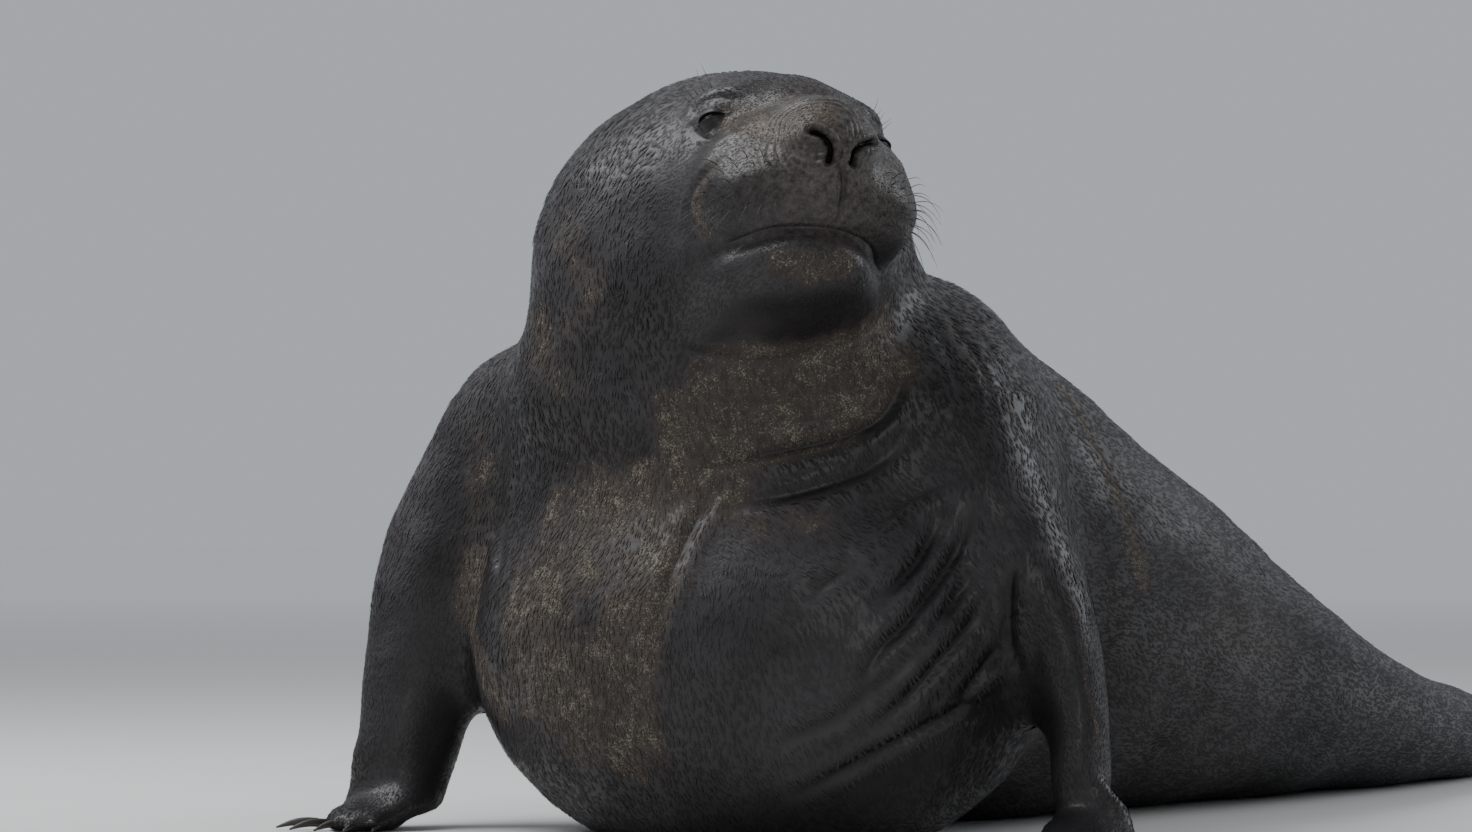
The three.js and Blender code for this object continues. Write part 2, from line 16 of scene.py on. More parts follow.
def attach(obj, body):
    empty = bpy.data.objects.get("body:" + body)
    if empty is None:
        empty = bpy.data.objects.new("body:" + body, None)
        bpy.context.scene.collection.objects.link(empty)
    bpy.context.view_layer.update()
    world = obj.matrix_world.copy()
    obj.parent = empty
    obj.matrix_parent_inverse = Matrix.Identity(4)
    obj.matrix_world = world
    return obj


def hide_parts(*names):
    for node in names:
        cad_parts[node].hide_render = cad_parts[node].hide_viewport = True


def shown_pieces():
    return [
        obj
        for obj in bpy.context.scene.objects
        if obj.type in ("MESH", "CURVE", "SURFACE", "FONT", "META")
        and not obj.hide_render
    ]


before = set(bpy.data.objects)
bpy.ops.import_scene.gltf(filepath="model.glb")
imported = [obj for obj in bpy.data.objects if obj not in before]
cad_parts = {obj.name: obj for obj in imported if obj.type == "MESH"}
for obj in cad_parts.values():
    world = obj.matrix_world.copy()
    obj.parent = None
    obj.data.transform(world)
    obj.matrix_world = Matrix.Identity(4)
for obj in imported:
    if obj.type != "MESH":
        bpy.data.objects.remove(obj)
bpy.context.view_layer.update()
random = np.random.default_rng(20)

# %% [markdown]
# ## The sizes of the body
#
# The real animal is a barrel of blubber with a neck as thick as the chest. It is written as
# rounded masses that flow into each other, the same ones that the solids were made from, so
# that the skin follows the solids. Places are in metres from a point on the floor under the
# chest, with the tail toward +Y and the animal's left toward +X.

# %% Sizes of the body
ORIGIN = np.array([-0.01714, -1.53878, 0.0])

TRUNK = {
    "at": [
        [0.055, 3.160, 0.085], [0.045, 2.960, 0.100], [0.020, 2.620, 0.135], [-0.010, 2.200, 0.190],
        [-0.040, 1.720, 0.275], [-0.060, 1.220, 0.390], [-0.070, 0.740, 0.510], [-0.075, 0.330, 0.680],
        [-0.078, 0.190, 0.830], [-0.072, 0.100, 0.945], [-0.064, 0.055, 1.050],
    ],
    "half": [0.090, 0.165, 0.290, 0.400, 0.500, 0.560, 0.590, 0.570, 0.548, 0.480, 0.385],
    "above": [0.045, 0.070, 0.110, 0.140, 0.225, 0.355, 0.450, 0.465, 0.440, 0.378, 0.335],
    "below": [0.080, 0.110, 0.160, 0.215, 0.305, 0.420, 0.540, 0.570, 0.500, 0.415, 0.362],
    "heading": [-4, -3, -2, 0, 2, 5, 8, 11, 15, 19, 24],
    "ends": [0.060, 0.425],
    "steps": 80,
}
CHEST = {"at": [-0.045, 0.150, 0.370], "reach": [0.605, 0.500, 0.450], "blend": 0.120}

HEAD_PLACE = [0.240, -0.145, 1.354]
HEAD_YAW, HEAD_PITCH, HEAD_ROLL = 56, 20, -8
HEAD_BLEND = 0.150
GROUP_BLEND = 0.022
HEAD_GROUPS = {
    "skull": [
        ("cranium", [0, -0.100, -0.036], [0.180, 0.220, 0.166], 0.090, False),
        ("crown", [0, -0.210, -0.010], [0.170, 0.170, 0.160], 0.080, False),
        ("cheek", [0.106, -0.110, -0.190], [0.096, 0.180, 0.180], 0.100, True),
        ("brow", [0.112, -0.030, 0.036], [0.066, 0.062, 0.034], 0.050, True),
    ],
    "muzzle": [
        ("bridge", [0, 0.050, -0.088], [0.120, 0.170, 0.110], 0.070, False),
        ("side of the nose", [0.115, 0.020, -0.130], [0.088, 0.130, 0.100], 0.060, True),
        ("nose", [0, 0.170, -0.125], [0.090, 0.092, 0.082], 0.060, False),
        ("whisker pad", [0.102, 0.048, -0.200], [0.106, 0.146, 0.082], 0.060, True),
        ("philtrum", [0, 0.125, -0.215], [0.120, 0.100, 0.066], 0.050, False),
    ],
    "jaw": [
        ("jaw", [0, -0.045, -0.315], [0.165, 0.182, 0.085], 0.040, False),
        ("chin", [0, 0.085, -0.325], [0.105, 0.088, 0.068], 0.050, False),
    ],
}

FORE_LEFT = {
    "at": [
        [0.380, 0.230, 0.760], [0.560, 0.185, 0.500], [0.660, 0.165, 0.270],
        [0.700, 0.130, 0.100], [0.760, 0.050, 0.034], [0.800, -0.060, 0.020],
    ],
    "half": [0.200, 0.165, 0.125, 0.110, 0.105, 0.095],
    "thick": [0.150, 0.105, 0.068, 0.055, 0.034, 0.022],
    "across": [
        [0.45, -0.89, 0], [0.55, -0.83, 0], [0.6, -0.8, 0],
        [0.5, -0.87, 0], [0.85, 0.5, 0], [0.9, 0.43, 0],
    ],
    "ends": [0.150, 0.090],
    "steps": 30,
}
FORE_RIGHT = {
    "at": [
        [-0.560, 0.150, 0.805], [-0.690, 0.060, 0.550], [-0.738, -0.030, 0.320],
        [-0.745, -0.090, 0.130], [-0.752, -0.170, 0.036], [-0.770, -0.270, 0.020],
    ],
    "half": [0.220, 0.180, 0.135, 0.110, 0.105, 0.095],
    "thick": [0.190, 0.170, 0.118, 0.078, 0.036, 0.022],
    "across": [
        [-0.3, -0.95, 0], [-0.3, -0.95, 0], [-0.25, -0.97, 0],
        [-0.3, -0.95, 0], [-0.9, 0.43, 0], [-0.95, 0.3, 0],
    ],
    "ends": [0.150, 0.090],
    "steps": 30,
}
HIND_LEFT = {
    "at": [[0.150, 3.040, 0.062], [0.215, 3.250, 0.042], [0.290, 3.430, 0.026]],
    "half": [0.070, 0.085, 0.130],
    "thick": [0.055, 0.034, 0.022],
    "across": [[1, 0, 0], [1, -0.3, 0], [1, -0.4, 0]],
    "ends": [0.080, 0.070],
    "steps": 16,
}
HIND_RIGHT = {
    "at": [[-0.030, 3.040, 0.062], [-0.095, 3.250, 0.042], [-0.170, 3.430, 0.026]],
    "half": [0.070, 0.085, 0.130],
    "thick": [0.055, 0.034, 0.022],
    "across": [[1, 0, 0], [1, 0.3, 0], [1, 0.4, 0]],
    "ends": [0.080, 0.070],
    "steps": 16,
}
TAIL = {
    "at": [[0.058, 3.080, 0.090], [0.060, 3.220, 0.060], [0.060, 3.330, 0.040]],
    "half": [0.060, 0.042, 0.026],
    "thick": [0.045, 0.030, 0.018],
    "across": [[1, 0, 0], [1, 0, 0], [1, 0, 0]],
    "ends": [0.060, 0.030],
    "steps": 12,
}
FORE_BLEND, HIND_BLEND = 0.110, 0.050
FORE_DIGITS = {
    "reach": [0.205, 0.200, 0.185, 0.165, 0.140],
    "spread": 30, "root": 0.025, "tip": 0.013, "nail": 0.046,
}
HIND_DIGITS = {
    "reach": [0.250, 0.205, 0.185, 0.205, 0.250],
    "spread": 32, "root": 0.024, "tip": 0.012, "nail": 0.014,
}
DIGIT_BLEND = 0.012
DIGIT_SETBACK, DIGIT_FOOT, DIGIT_HEIGHT = 0.060, 0.040, 0.9
HEAD_NEAR, DIGIT_NEAR = 0.9, 0.25
FLOOR_SKIN = 0.0015
FLOOR_BLEND = 0.012
INSET = 0.003

FLESH_NODES = [
    "head", "snout", "lower_jaw", "neck", "chest", "belly", "loin", "hips", "tail",
    "fore_flipper_left", "fore_flipper_right", "hind_flipper_left", "hind_flipper_right",
]

# %% [markdown]
# ## The body as one field
#
# A real seal has no seams: neck, shoulder and flipper run into each other under one hide. A
# field does the same. It gives, at any point, about how far outside the body that point lies,
# and soft minimums melt one mass into the next.

# %% Distance to each mass


def axes_from(yaw, pitch, roll):
    """Left, forward and up of a turned head, as rows."""
    yaw, pitch, roll = map(math.radians, (yaw, pitch, roll))
    forward = np.array([math.sin(yaw) * math.cos(pitch), -math.cos(yaw) * math.cos(pitch), math.sin(pitch)])
    level = np.array([math.cos(yaw), math.sin(yaw), 0.0])
    left = level * math.cos(roll) + np.cross(forward, level) * math.sin(roll)
    return np.array([left, forward, np.cross(forward, left)])


def blended(a, b, blend):
    """The smaller of two distances, rounded where they meet."""
    near = np.maximum(blend - np.abs(a - b), 0) / blend
    return np.minimum(a, b) - near * near * blend / 4


def ellipsoid_distance(p, reach):
    """About how far p lies outside an ellipsoid round the origin."""
    scaled = p / reach
    k = np.linalg.norm(scaled, axis=-1)
    return k * (k - 1) / np.maximum(np.linalg.norm(scaled / reach, axis=-1), 1e-9)


def curve_at(points, t):
    """Point and slope on a smooth curve through the points, t from 0 to 1."""
    points = np.array(points, float)
    padded = np.vstack([2 * points[0] - points[1], points, 2 * points[-1] - points[-2]])
    place = t * (len(points) - 1)
    i = min(int(place), len(points) - 2)
    u = place - i
    before, a, b, after = padded[i : i + 4]
    start, end = 0.5 * (b - before), 0.5 * (after - a)
    c2 = 3 * (b - a) - 2 * start - end
    c3 = 2 * (a - b) + start + end
    return a + start * u + c2 * u * u + c3 * u**3, start + 2 * c2 * u + 3 * c3 * u * u


def limb_from(sizes):
    """Frames along a limb: centre, tangent, side, up and sizes at each step."""
    if "heading" in sizes:
        across = [[math.cos(math.radians(h)), math.sin(math.radians(h)), 0] for h in sizes["heading"]]
    else:
        across = sizes["across"]
    above = sizes.get("above", sizes.get("thick"))
    below = sizes.get("below", sizes.get("thick"))
    frames = []
    for t in np.linspace(0, 1, sizes["steps"] + 1):
        centre, slope = curve_at(sizes["at"], t)
        tangent = slope / np.linalg.norm(slope)
        up = np.cross(tangent, curve_at(across, t)[0])
        up /= np.linalg.norm(up)
        side = np.cross(up, tangent)
        size = curve_at(list(zip(sizes["half"], above, below)), t)[0]
        frames.append((centre, tangent, side, up, size))
    centre, tangent, side, up, size = (np.array(v) for v in zip(*frames))
    middle = centre.mean(axis=0)
    reach = np.linalg.norm(centre - middle, axis=1).max() + size.max() * 1.2 + max(sizes["ends"])
    return {
        "centre": centre, "tangent": tangent, "side": side, "up": up, "size": size,
        "ends": sizes["ends"], "middle": middle, "reach": reach,
    }


def nearest_step(p, centre):
    """The number of the centre nearest to each p."""
    away = (centre**2).sum(axis=1) - 2 * (p.astype(np.float32) @ centre.T.astype(np.float32))
    return away.argmin(axis=1)


def limb_distance(p, limb):
    """About how far each p lies outside a limb, and the limb's tangent there."""
    centre, tangents = limb["centre"], limb["tangent"]
    last = len(centre) - 1
    nearest = nearest_step(p, centre)
    ahead = ((p - centre[nearest]) * tangents[nearest]).sum(axis=1)
    a = np.clip(np.where(ahead < 0, nearest - 1, nearest), 0, last - 1)
    b = a + 1
    from_a = ((p - centre[a]) * tangents[a]).sum(axis=1)
    to_b = ((centre[b] - p) * tangents[b]).sum(axis=1)
    past_start = (a == 0) & (from_a < 0)
    past_end = (b == last) & (to_b < 0)
    total = from_a + to_b
    share = np.clip(from_a / np.where(np.abs(total) < 1e-9, 1e-9, total), 0, 1)
    share = np.where(past_start, 0, np.where(past_end, 1, share))
    keep, take = (1 - share)[:, None], share[:, None]
    rel = p - centre[a] * keep - centre[b] * take

    def along(key):
        return (rel * (limb[key][a] * keep + limb[key][b] * take)).sum(axis=1)

    size = limb["size"][a] * keep + limb["size"][b] * take
    up = along("up")
    end = np.where(past_start, limb["ends"][0], limb["ends"][1])
    reach = np.stack([size[:, 0], end, np.where(up > 0, size[:, 1], size[:, 2])], axis=1)
    forward = np.where(past_start | past_end, along("tangent"), 0)
    local = np.stack([along("side"), forward, up], axis=1)
    return ellipsoid_distance(local, reach), tangents[a] * keep + tangents[b] * take


# %% [markdown]
# ## Head and digits in the field
#
# The head has its own axes, left, forward and up, so that its masses can be measured as if it
# looked straight ahead. Digits are tapered rods spread like a fan from the wrist.

# %% Head and digits
HEAD_AXES = axes_from(HEAD_YAW, HEAD_PITCH, HEAD_ROLL)
HEAD_ORIGIN = np.array(HEAD_PLACE)
MIRROR = np.array([-1, 1, 1])


def in_head(p):
    """Points in the head's own axes: left, forward, up."""
    return (p - HEAD_ORIGIN) @ HEAD_AXES.T


def from_head(q):
    """Points given as left, forward, up of the head, back in the body's axes."""
    return HEAD_ORIGIN + np.asarray(q) @ HEAD_AXES


def head_distance(p):
    """About how far each p lies outside the head."""
    q = in_head(p)
    whole = None
    for masses in HEAD_GROUPS.values():
        group = None
        for _, at, reach, blend, paired in masses:
            for mirror in (1, MIRROR) if paired else (1,):
                d = ellipsoid_distance(q - np.array(at) * mirror, reach)
                group = d if group is None else blended(group, d, blend)
        whole = group if whole is None else blended(whole, group, GROUP_BLEND)
    return whole


def digits_of(sizes, digits, outer):
    """Root and tip of each digit of a flipper, spread like a fan."""
    stations = np.array(sizes["at"])
    along = (stations[-1] - stations[-3]) * [1, 1, 0]
    along /= np.linalg.norm(along)
    start = stations[-2] - along * DIGIT_SETBACK
    fan = []
    for i, length in enumerate(digits["reach"]):
        turn = math.radians(outer * digits["spread"] * (1 - 2 * i / (len(digits["reach"]) - 1)))
        out = np.array([
            along[0] * math.cos(turn) - along[1] * math.sin(turn),
            along[0] * math.sin(turn) + along[1] * math.cos(turn),
            0,
        ])
        foot = start + out * DIGIT_FOOT
        end = start + out * length
        foot[2] = digits["root"] * DIGIT_HEIGHT
        end[2] = digits["tip"] * DIGIT_HEIGHT
        fan.append((foot, end))
    return fan


def digit_distance(p, foot, end, digits):
    """How far each p lies outside one tapered digit."""
    run = end - foot
    t = np.clip((p - foot) @ run / (run @ run), 0, 1)
    thick = digits["root"] * (1 - t) + digits["tip"] * t
    return np.linalg.norm(p - foot - t[:, None] * run, axis=1) - thick


# %% [markdown]
# ## The whole body in the field
#
# Trunk, chest, head, flippers and digits are melted together one after the other. The skin
# lies 3 mm inside that field, which leaves room for the coat.

# %% The whole body
SMALLEST_SLOPE, LONGEST_STEP = 0.05, 0.03

TRUNK_LIMB = limb_from(TRUNK)
FLIPPERS = [
    ("fore left", limb_from(FORE_LEFT), FORE_BLEND, digits_of(FORE_LEFT, FORE_DIGITS, 1), FORE_DIGITS),
    ("fore right", limb_from(FORE_RIGHT), FORE_BLEND, digits_of(FORE_RIGHT, FORE_DIGITS, -1), FORE_DIGITS),
    ("hind left", limb_from(HIND_LEFT), HIND_BLEND, digits_of(HIND_LEFT, HIND_DIGITS, 1), HIND_DIGITS),
    ("hind right", limb_from(HIND_RIGHT), HIND_BLEND, digits_of(HIND_RIGHT, HIND_DIGITS, 1), HIND_DIGITS),
    ("tail", limb_from(TAIL), HIND_BLEND, [], None),
]


def flesh_distance(p):
    """About how far each p lies outside the whole body."""
    whole = limb_distance(p, TRUNK_LIMB)[0]
    whole = blended(whole, ellipsoid_distance(p - CHEST["at"], CHEST["reach"]), CHEST["blend"])
    near = np.linalg.norm(p - HEAD_ORIGIN, axis=1) < HEAD_NEAR
    whole[near] = blended(whole[near], head_distance(p[near]), HEAD_BLEND)
    for _, limb, blend, digits, sizes in FLIPPERS:
        near = np.linalg.norm(p - limb["middle"], axis=1) < limb["reach"] + 2 * blend
        if near.any():
            whole[near] = blended(whole[near], limb_distance(p[near], limb)[0], blend)
        for foot, end in digits:
            near = np.linalg.norm(p - (foot + end) / 2, axis=1) < DIGIT_NEAR
            if near.any():
                whole[near] = blended(whole[near], digit_distance(p[near], foot, end, sizes), DIGIT_BLEND)
    return whole


def skin_distance(p):
    """The body's field, drawn in by the coat's depth and cut flat where it lies on the floor."""
    flesh = flesh_distance(p) + INSET
    return -blended(-flesh, -(FLOOR_SKIN - p[:, 2]), FLOOR_BLEND)


def gradient(field, p, step=0.002):
    """The field's value and slope at each p."""
    value = field(p)
    slope = np.stack(
        [(field(p + step * unit) - value) / step for unit in np.eye(3)], axis=1
    )
    return value, slope


def settled(field, p, rounds):
    """Each p moved onto the field's zero surface."""
    for _ in range(rounds):
        value, slope = gradient(field, p)
        size = np.maximum((slope**2).sum(axis=1), SMALLEST_SLOPE)
        p = p - slope * np.clip(value / size, -LONGEST_STEP, LONGEST_STEP)[:, None]
    return p


print("trunk in", len(TRUNK_LIMB["centre"]), "steps,", len(FLIPPERS), "limbs and",
      sum(len(masses) for masses in HEAD_GROUPS.values()), "masses of the head")

# %% [markdown]
# ## Where the camera stands
#
# The picture was taken from low down and, it seems, far off with a long lens, a little to the
# animal's left. Knowing that view lets the script look along any line of sight and find where on the
# hide a fold or a nostril lies.

# %% The camera and lines of sight
VIEW_AZIMUTH = 35
VIEW_DISTANCE = 10.0
VIEW_HEIGHT = 0.66
VIEW_WIDTH, VIEW_DEPTH = 1472, 832
FOCAL_PIXELS = 5176
HORIZON_ROW = 497
SENSOR = 0.036
SIGHT_START, SIGHT_END = VIEW_DISTANCE - 2.5, VIEW_DISTANCE + 5
SIGHT_STEPS, SIGHT_SHARE, SIGHT_NEAR = 60, 0.75, 0.0005
RIGHT_EYE_SEEN = (713, 117)

azimuth = math.radians(VIEW_AZIMUTH)
look = np.array([-math.sin(azimuth), math.cos(azimuth), 0.0])
camera_place = np.array([0, 0, VIEW_HEIGHT]) - look * VIEW_DISTANCE
rise = math.atan((HORIZON_ROW - VIEW_DEPTH / 2) / FOCAL_PIXELS)
view_forward = look * math.cos(rise) + np.array([0, 0, math.sin(rise)])
view_right = np.array([math.cos(azimuth), math.sin(azimuth), 0.0])
view_up = np.cross(view_right, view_forward)


def seen_line(places):
    """The points of the skin that the camera sees at places in the picture."""
    places = np.asarray(places, float)
    away = (places[:, :1] - VIEW_WIDTH / 2) / FOCAL_PIXELS * view_right
    away = away + (VIEW_DEPTH / 2 - places[:, 1:]) / FOCAL_PIXELS * view_up + view_forward
    away /= np.linalg.norm(away, axis=1)[:, None]
    reached = np.full(len(places), SIGHT_START)
    for _ in range(SIGHT_STEPS):
        d = skin_distance(camera_place + away * reached[:, None])
        going = (d > SIGHT_NEAR) & (reached < SIGHT_END)
        reached[going] += np.maximum(d[going] * SIGHT_SHARE, SIGHT_NEAR)
    return camera_place + away * reached[:, None]


def seen_at(column, row):
    """The point of the skin that the camera sees at one place in the picture."""
    return seen_line([(column, row)])[0]


print("right eye is seen at", seen_at(*RIGHT_EYE_SEEN).round(3))

# %% [markdown]
# ## One skin over the flesh
#
# The solids are parted by thin cuts, so that each is one closed body. Real hide has none of
# these, so the solids are melted into one mesh of even cells, each point is moved onto the
# field, and the mesh is made finer where the head and the folds need it.

# %% Melt the solids into one skin
SKIN_CELL = 0.010


def joined_solids(names):
    """The CAD nodes of these names as one mesh, in the body's own axes."""
    points, faces, count = [], [], 0
    for name in names:
        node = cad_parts[name]
        mesh = node.data
        corners = np.empty(len(mesh.vertices) * 3)
        mesh.vertices.foreach_get("co", corners)
        matrix = np.array(node.matrix_world)
        corners = corners.reshape(-1, 3) @ matrix[:3, :3].T + matrix[:3, 3] - ORIGIN
        points.append(corners)
        faces += [[v + count for v in polygon.vertices] for polygon in mesh.polygons]
        count += len(corners)
    return np.vstack(points), faces


def mesh_from(name, points, faces):
    """A mesh from points and faces, either as lists or as arrays of triangles."""
    mesh = bpy.data.meshes.new(name)
    if isinstance(faces, list):
        mesh.from_pydata(np.asarray(points).tolist(), [], faces)
        mesh.update()
        return mesh
    mesh.vertices.add(len(points))
    mesh.vertices.foreach_set("co", np.asarray(points, np.float32).ravel())
    mesh.loops.add(faces.size)
    mesh.loops.foreach_set("vertex_index", faces.ravel().astype(np.int32))
    mesh.polygons.add(len(faces))
    mesh.polygons.foreach_set("loop_start", np.arange(0, faces.size, 3, dtype=np.int32))
    mesh.update(calc_edges=True)
    return mesh


def triangles_of(mesh):
    """Points and triangles of a mesh as arrays."""
    points = np.empty(len(mesh.vertices) * 3)
    mesh.vertices.foreach_get("co", points)
    mesh.calc_loop_triangles()
    triangles = np.empty(len(mesh.loop_triangles) * 3, np.int32)
    mesh.loop_triangles.foreach_get("vertices", triangles)
    return points.reshape(-1, 3), triangles.reshape(-1, 3)


def melted(points, faces, cell):
    """One even mesh round everything that the faces close."""
    source = bpy.data.objects.new("melt", mesh_from("melt", points, faces))
    bpy.context.scene.collection.objects.link(source)
    remesh = source.modifiers.new("melt", "REMESH")
    remesh.mode = "VOXEL"
    remesh.voxel_size = cell
    shown = source.evaluated_get(bpy.context.evaluated_depsgraph_get())
    result = triangles_of(shown.to_mesh())
    shown.to_mesh_clear()
    bpy.data.objects.remove(source)
    return result


def finer(points, triangles, wanted):
    """Every triangle with all its corners wanted is cut in four, and its neighbours to fit."""
    edges = np.sort(triangles[:, [0, 1, 1, 2, 2, 0]].reshape(-1, 2), axis=1)
    unique, place = np.unique(edges, axis=0, return_inverse=True)
    place = place.reshape(-1, 3)
    cut = wanted[unique].all(axis=1)
    middle = np.full(len(unique), -1)
    middle[cut] = len(points) + np.arange(cut.sum())
    points = np.vstack([points, points[unique[cut]].mean(axis=1)])
    mids = middle[place]
    number = (mids >= 0).sum(axis=1)
    made = [triangles[number == 0]]
    full, m = triangles[number == 3], mids[number == 3]
    made += [
        np.stack([full[:, 0], m[:, 0], m[:, 2]], axis=1),
        np.stack([m[:, 0], full[:, 1], m[:, 1]], axis=1),
        np.stack([m[:, 2], m[:, 1], full[:, 2]], axis=1),
        m,
    ]
    for k in range(3):
        a, b, c = k, (k + 1) % 3, (k + 2) % 3
        one = (number == 1) & (mids[:, a] >= 0)
        t, m = triangles[one], mids[one]
        made += [
            np.stack([t[:, a], m[:, a], t[:, c]], axis=1),
            np.stack([m[:, a], t[:, b], t[:, c]], axis=1),
        ]
        two = (number == 2) & (mids[:, c] < 0)
        t, m = triangles[two], mids[two]
        made += [
            np.stack([t[:, b], m[:, b], m[:, a]], axis=1),
            np.stack([t[:, a], m[:, a], m[:, b]], axis=1),
            np.stack([t[:, a], m[:, b], t[:, c]], axis=1),
        ]
    return points, np.vstack(made)


def smoothed(points, triangles, rounds, keep=None):
    """Each point drawn toward the middle of its neighbours."""
    edges = np.unique(np.sort(triangles[:, [0, 1, 1, 2, 2, 0]].reshape(-1, 2), axis=1), axis=0)
    count = np.bincount(edges.ravel(), minlength=len(points))[:, None]
    for _ in range(rounds):
        total = np.zeros_like(points)
        for axis in range(points.shape[1]):
            total[:, axis] += np.bincount(edges[:, 0], points[edges[:, 1], axis], len(points))
            total[:, axis] += np.bincount(edges[:, 1], points[edges[:, 0], axis], len(points))
        moved = total / np.maximum(count, 1)
        points = moved if keep is None else np.where(keep[:, None], points, moved)
    return points


points, triangles = melted(*joined_solids(FLESH_NODES), SKIN_CELL)
points = settled(skin_distance, points, 3)
points = settled(skin_distance, smoothed(points, triangles, 2), 2)
print("skin:", len(points), "points,", len(triangles), "triangles")

# %% [markdown]
# ## A finer head
#
# The face holds the smallest forms, so its triangles are cut in four twice, and those of the
# rest of the head and the upper neck once. The new points are moved onto the field again.

# %% Make the head and throat finer
HEAD_FINE, FACE_FINE = 0.62, 0.40
FACE_MIDDLE = [0, 0.05, -0.15]

points, triangles = finer(points, triangles, np.linalg.norm(points - HEAD_ORIGIN, axis=1) < HEAD_FINE)
face = from_head(FACE_MIDDLE)
points, triangles = finer(points, triangles, np.linalg.norm(points - face, axis=1) < FACE_FINE)
points = settled(skin_distance, points, 2)
print("skin with a fine head:", len(points), "points,", len(triangles), "triangles")


def normals_of(points, triangles):
    """Unit normal at each point."""
    a, b, c = (points[triangles[:, i]] for i in range(3))
    face_normal = np.cross(b - a, c - a)
    total = np.zeros_like(points)
    for corner in range(3):
        for axis in range(3):
            total[:, axis] += np.bincount(triangles[:, corner], face_normal[:, axis], len(points))
    return total / np.maximum(np.linalg.norm(total, axis=1), 1e-12)[:, None]


normals = normals_of(points, triangles)

# %% [markdown]
# ## Eyes
#
# A seal's eye is large, dark and wet, and sits deep under a heavy brow. The ball is set by
# the same rule as the solid: walk out of the head to the hide, then sink it.

# %% Eyes
EYE_FROM, EYE_TOWARD = [0.060, -0.020, 0], [0.106, 0.024, -0.012]
EYE_RADIUS, EYE_SUNK = 0.030, 0.020
WALK_STEPS, WALK_SHARE, WALK_NEAR = 200, 0.6, 0.0005


def out_of_head(start, toward):
    """The point of the flesh reached by walking out of the head, and the normal there."""
    p = from_head(start)[None]
    heading = from_head(toward)[None] - HEAD_ORIGIN
    heading /= np.linalg.norm(heading)
    for _ in range(WALK_STEPS):
        d = flesh_distance(p)[0]
        if d > -WALK_NEAR:
            break
        p = p + heading * max(-d * WALK_SHARE, WALK_NEAR)
    slope = gradient(flesh_distance, p)[1][0]
    return p[0], slope / np.linalg.norm(slope)


def smooth_shade(mesh):
    """Shading without facets."""
    mesh.polygons.foreach_set("use_smooth", [True] * len(mesh.polygons))


def add_piece(name, mesh, replaced=()):
    """A finished piece in the frame's own axes."""
    piece = bpy.data.objects.new(name, mesh)
    bpy.context.scene.collection.objects.link(piece)
    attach(piece, "root")
    if replaced:
        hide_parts(*replaced)
    return piece


eyes = {}
for name, side in (("left", 1), ("right", -1)):
    mirror = np.array([side, 1, 1])
    surface, normal = out_of_head(np.array(EYE_FROM) * mirror, np.array(EYE_TOWARD) * mirror)
    across = np.cross(HEAD_AXES[2], normal)
    across /= np.linalg.norm(across)
    eyes[name] = {
        "surface": surface,
        "centre": surface - normal * EYE_SUNK,
        "normal": normal,
        "across": across,
        "up": np.cross(normal, across),
        "side": side,
    }
    print(name, "eye at", eyes[name]["centre"].round(3))

# %% [markdown]
# ## Folds and creases
#
# Blubber under a loose hide folds where the body bends: in fans from the armpit, in arcs
# across the throat, and in fine rings over the muzzle. A fold is a valley with a swollen lip
# on each side. The picture shows where the main ones run, so their lines are given as places
# in it and laid on the hide along the lines of sight.

# %% Tools for folds
FOLD_REACH, LIP_PLACE, LIP_SPREAD = 5, 2.1, 1.2
FOLD_TAPER = 0.3


def line_distance(p, line):
    """How far each p is from a line of points."""
    best = np.full(len(p), np.inf)
    for start, end in zip(line[:-1], line[1:]):
        run = end - start
        t = np.clip((p - start) @ run / max(run @ run, 1e-12), 0, 1)
        best = np.minimum(best, np.linalg.norm(p - start - t[:, None] * run, axis=1))
    return best


def tapered(p, line):
    """1 along the middle of a line, falling to 0 at its ends."""
    ends = np.minimum(np.linalg.norm(p - line[0], axis=1), np.linalg.norm(p - line[-1], axis=1))
    length = np.linalg.norm(np.diff(line, axis=0), axis=1).sum()
    return np.clip(ends / (FOLD_TAPER * length), 0, 1) ** 0.7


def folded(p, line, width, depth, lip=0.5, taper=True):
    """The push of one fold at each p: a valley with a lip on each side."""
    push = np.zeros(len(p))
    reach = FOLD_REACH * width
    low, high = line.min(axis=0) - reach, line.max(axis=0) + reach
    near = ((p > low) & (p < high)).all(axis=1)
    if not near.any():
        return push
    d = line_distance(p[near], line)
    valley = np.exp(-((d / width) ** 2))
    swell = np.exp(-(((d - LIP_PLACE * width) / (LIP_SPREAD * width)) ** 2))
    amount = depth * (lip * swell - valley)
    push[near] = amount * tapered(p[near], line) if taper else amount
    return push


def waves(p, size, count=12, seed=1):
    """A smooth random field round 0, mostly within 1 of it, with features of this size."""
    draw = np.random.default_rng(seed)
    total = np.zeros(len(p))
    for _ in range(count):
        heading = draw.normal(size=3)
        heading *= 2 * math.pi / size / np.linalg.norm(heading)
        total += np.sin(p @ heading + draw.uniform(0, 2 * math.pi))
    return total / math.sqrt(count)


def in_curve(places, steps):
    """A line through places, with smooth points between them."""
    shares = np.linspace(0, 1, steps * (len(places) - 1) + 1)
    return np.array([curve_at(places, t)[0] for t in shares])


def both_sides(line):
    """A line on the head and its mirror image on the other side."""
    other = from_head(in_head(line) * MIRROR)
    return [line, settled(skin_distance, other, 3)]


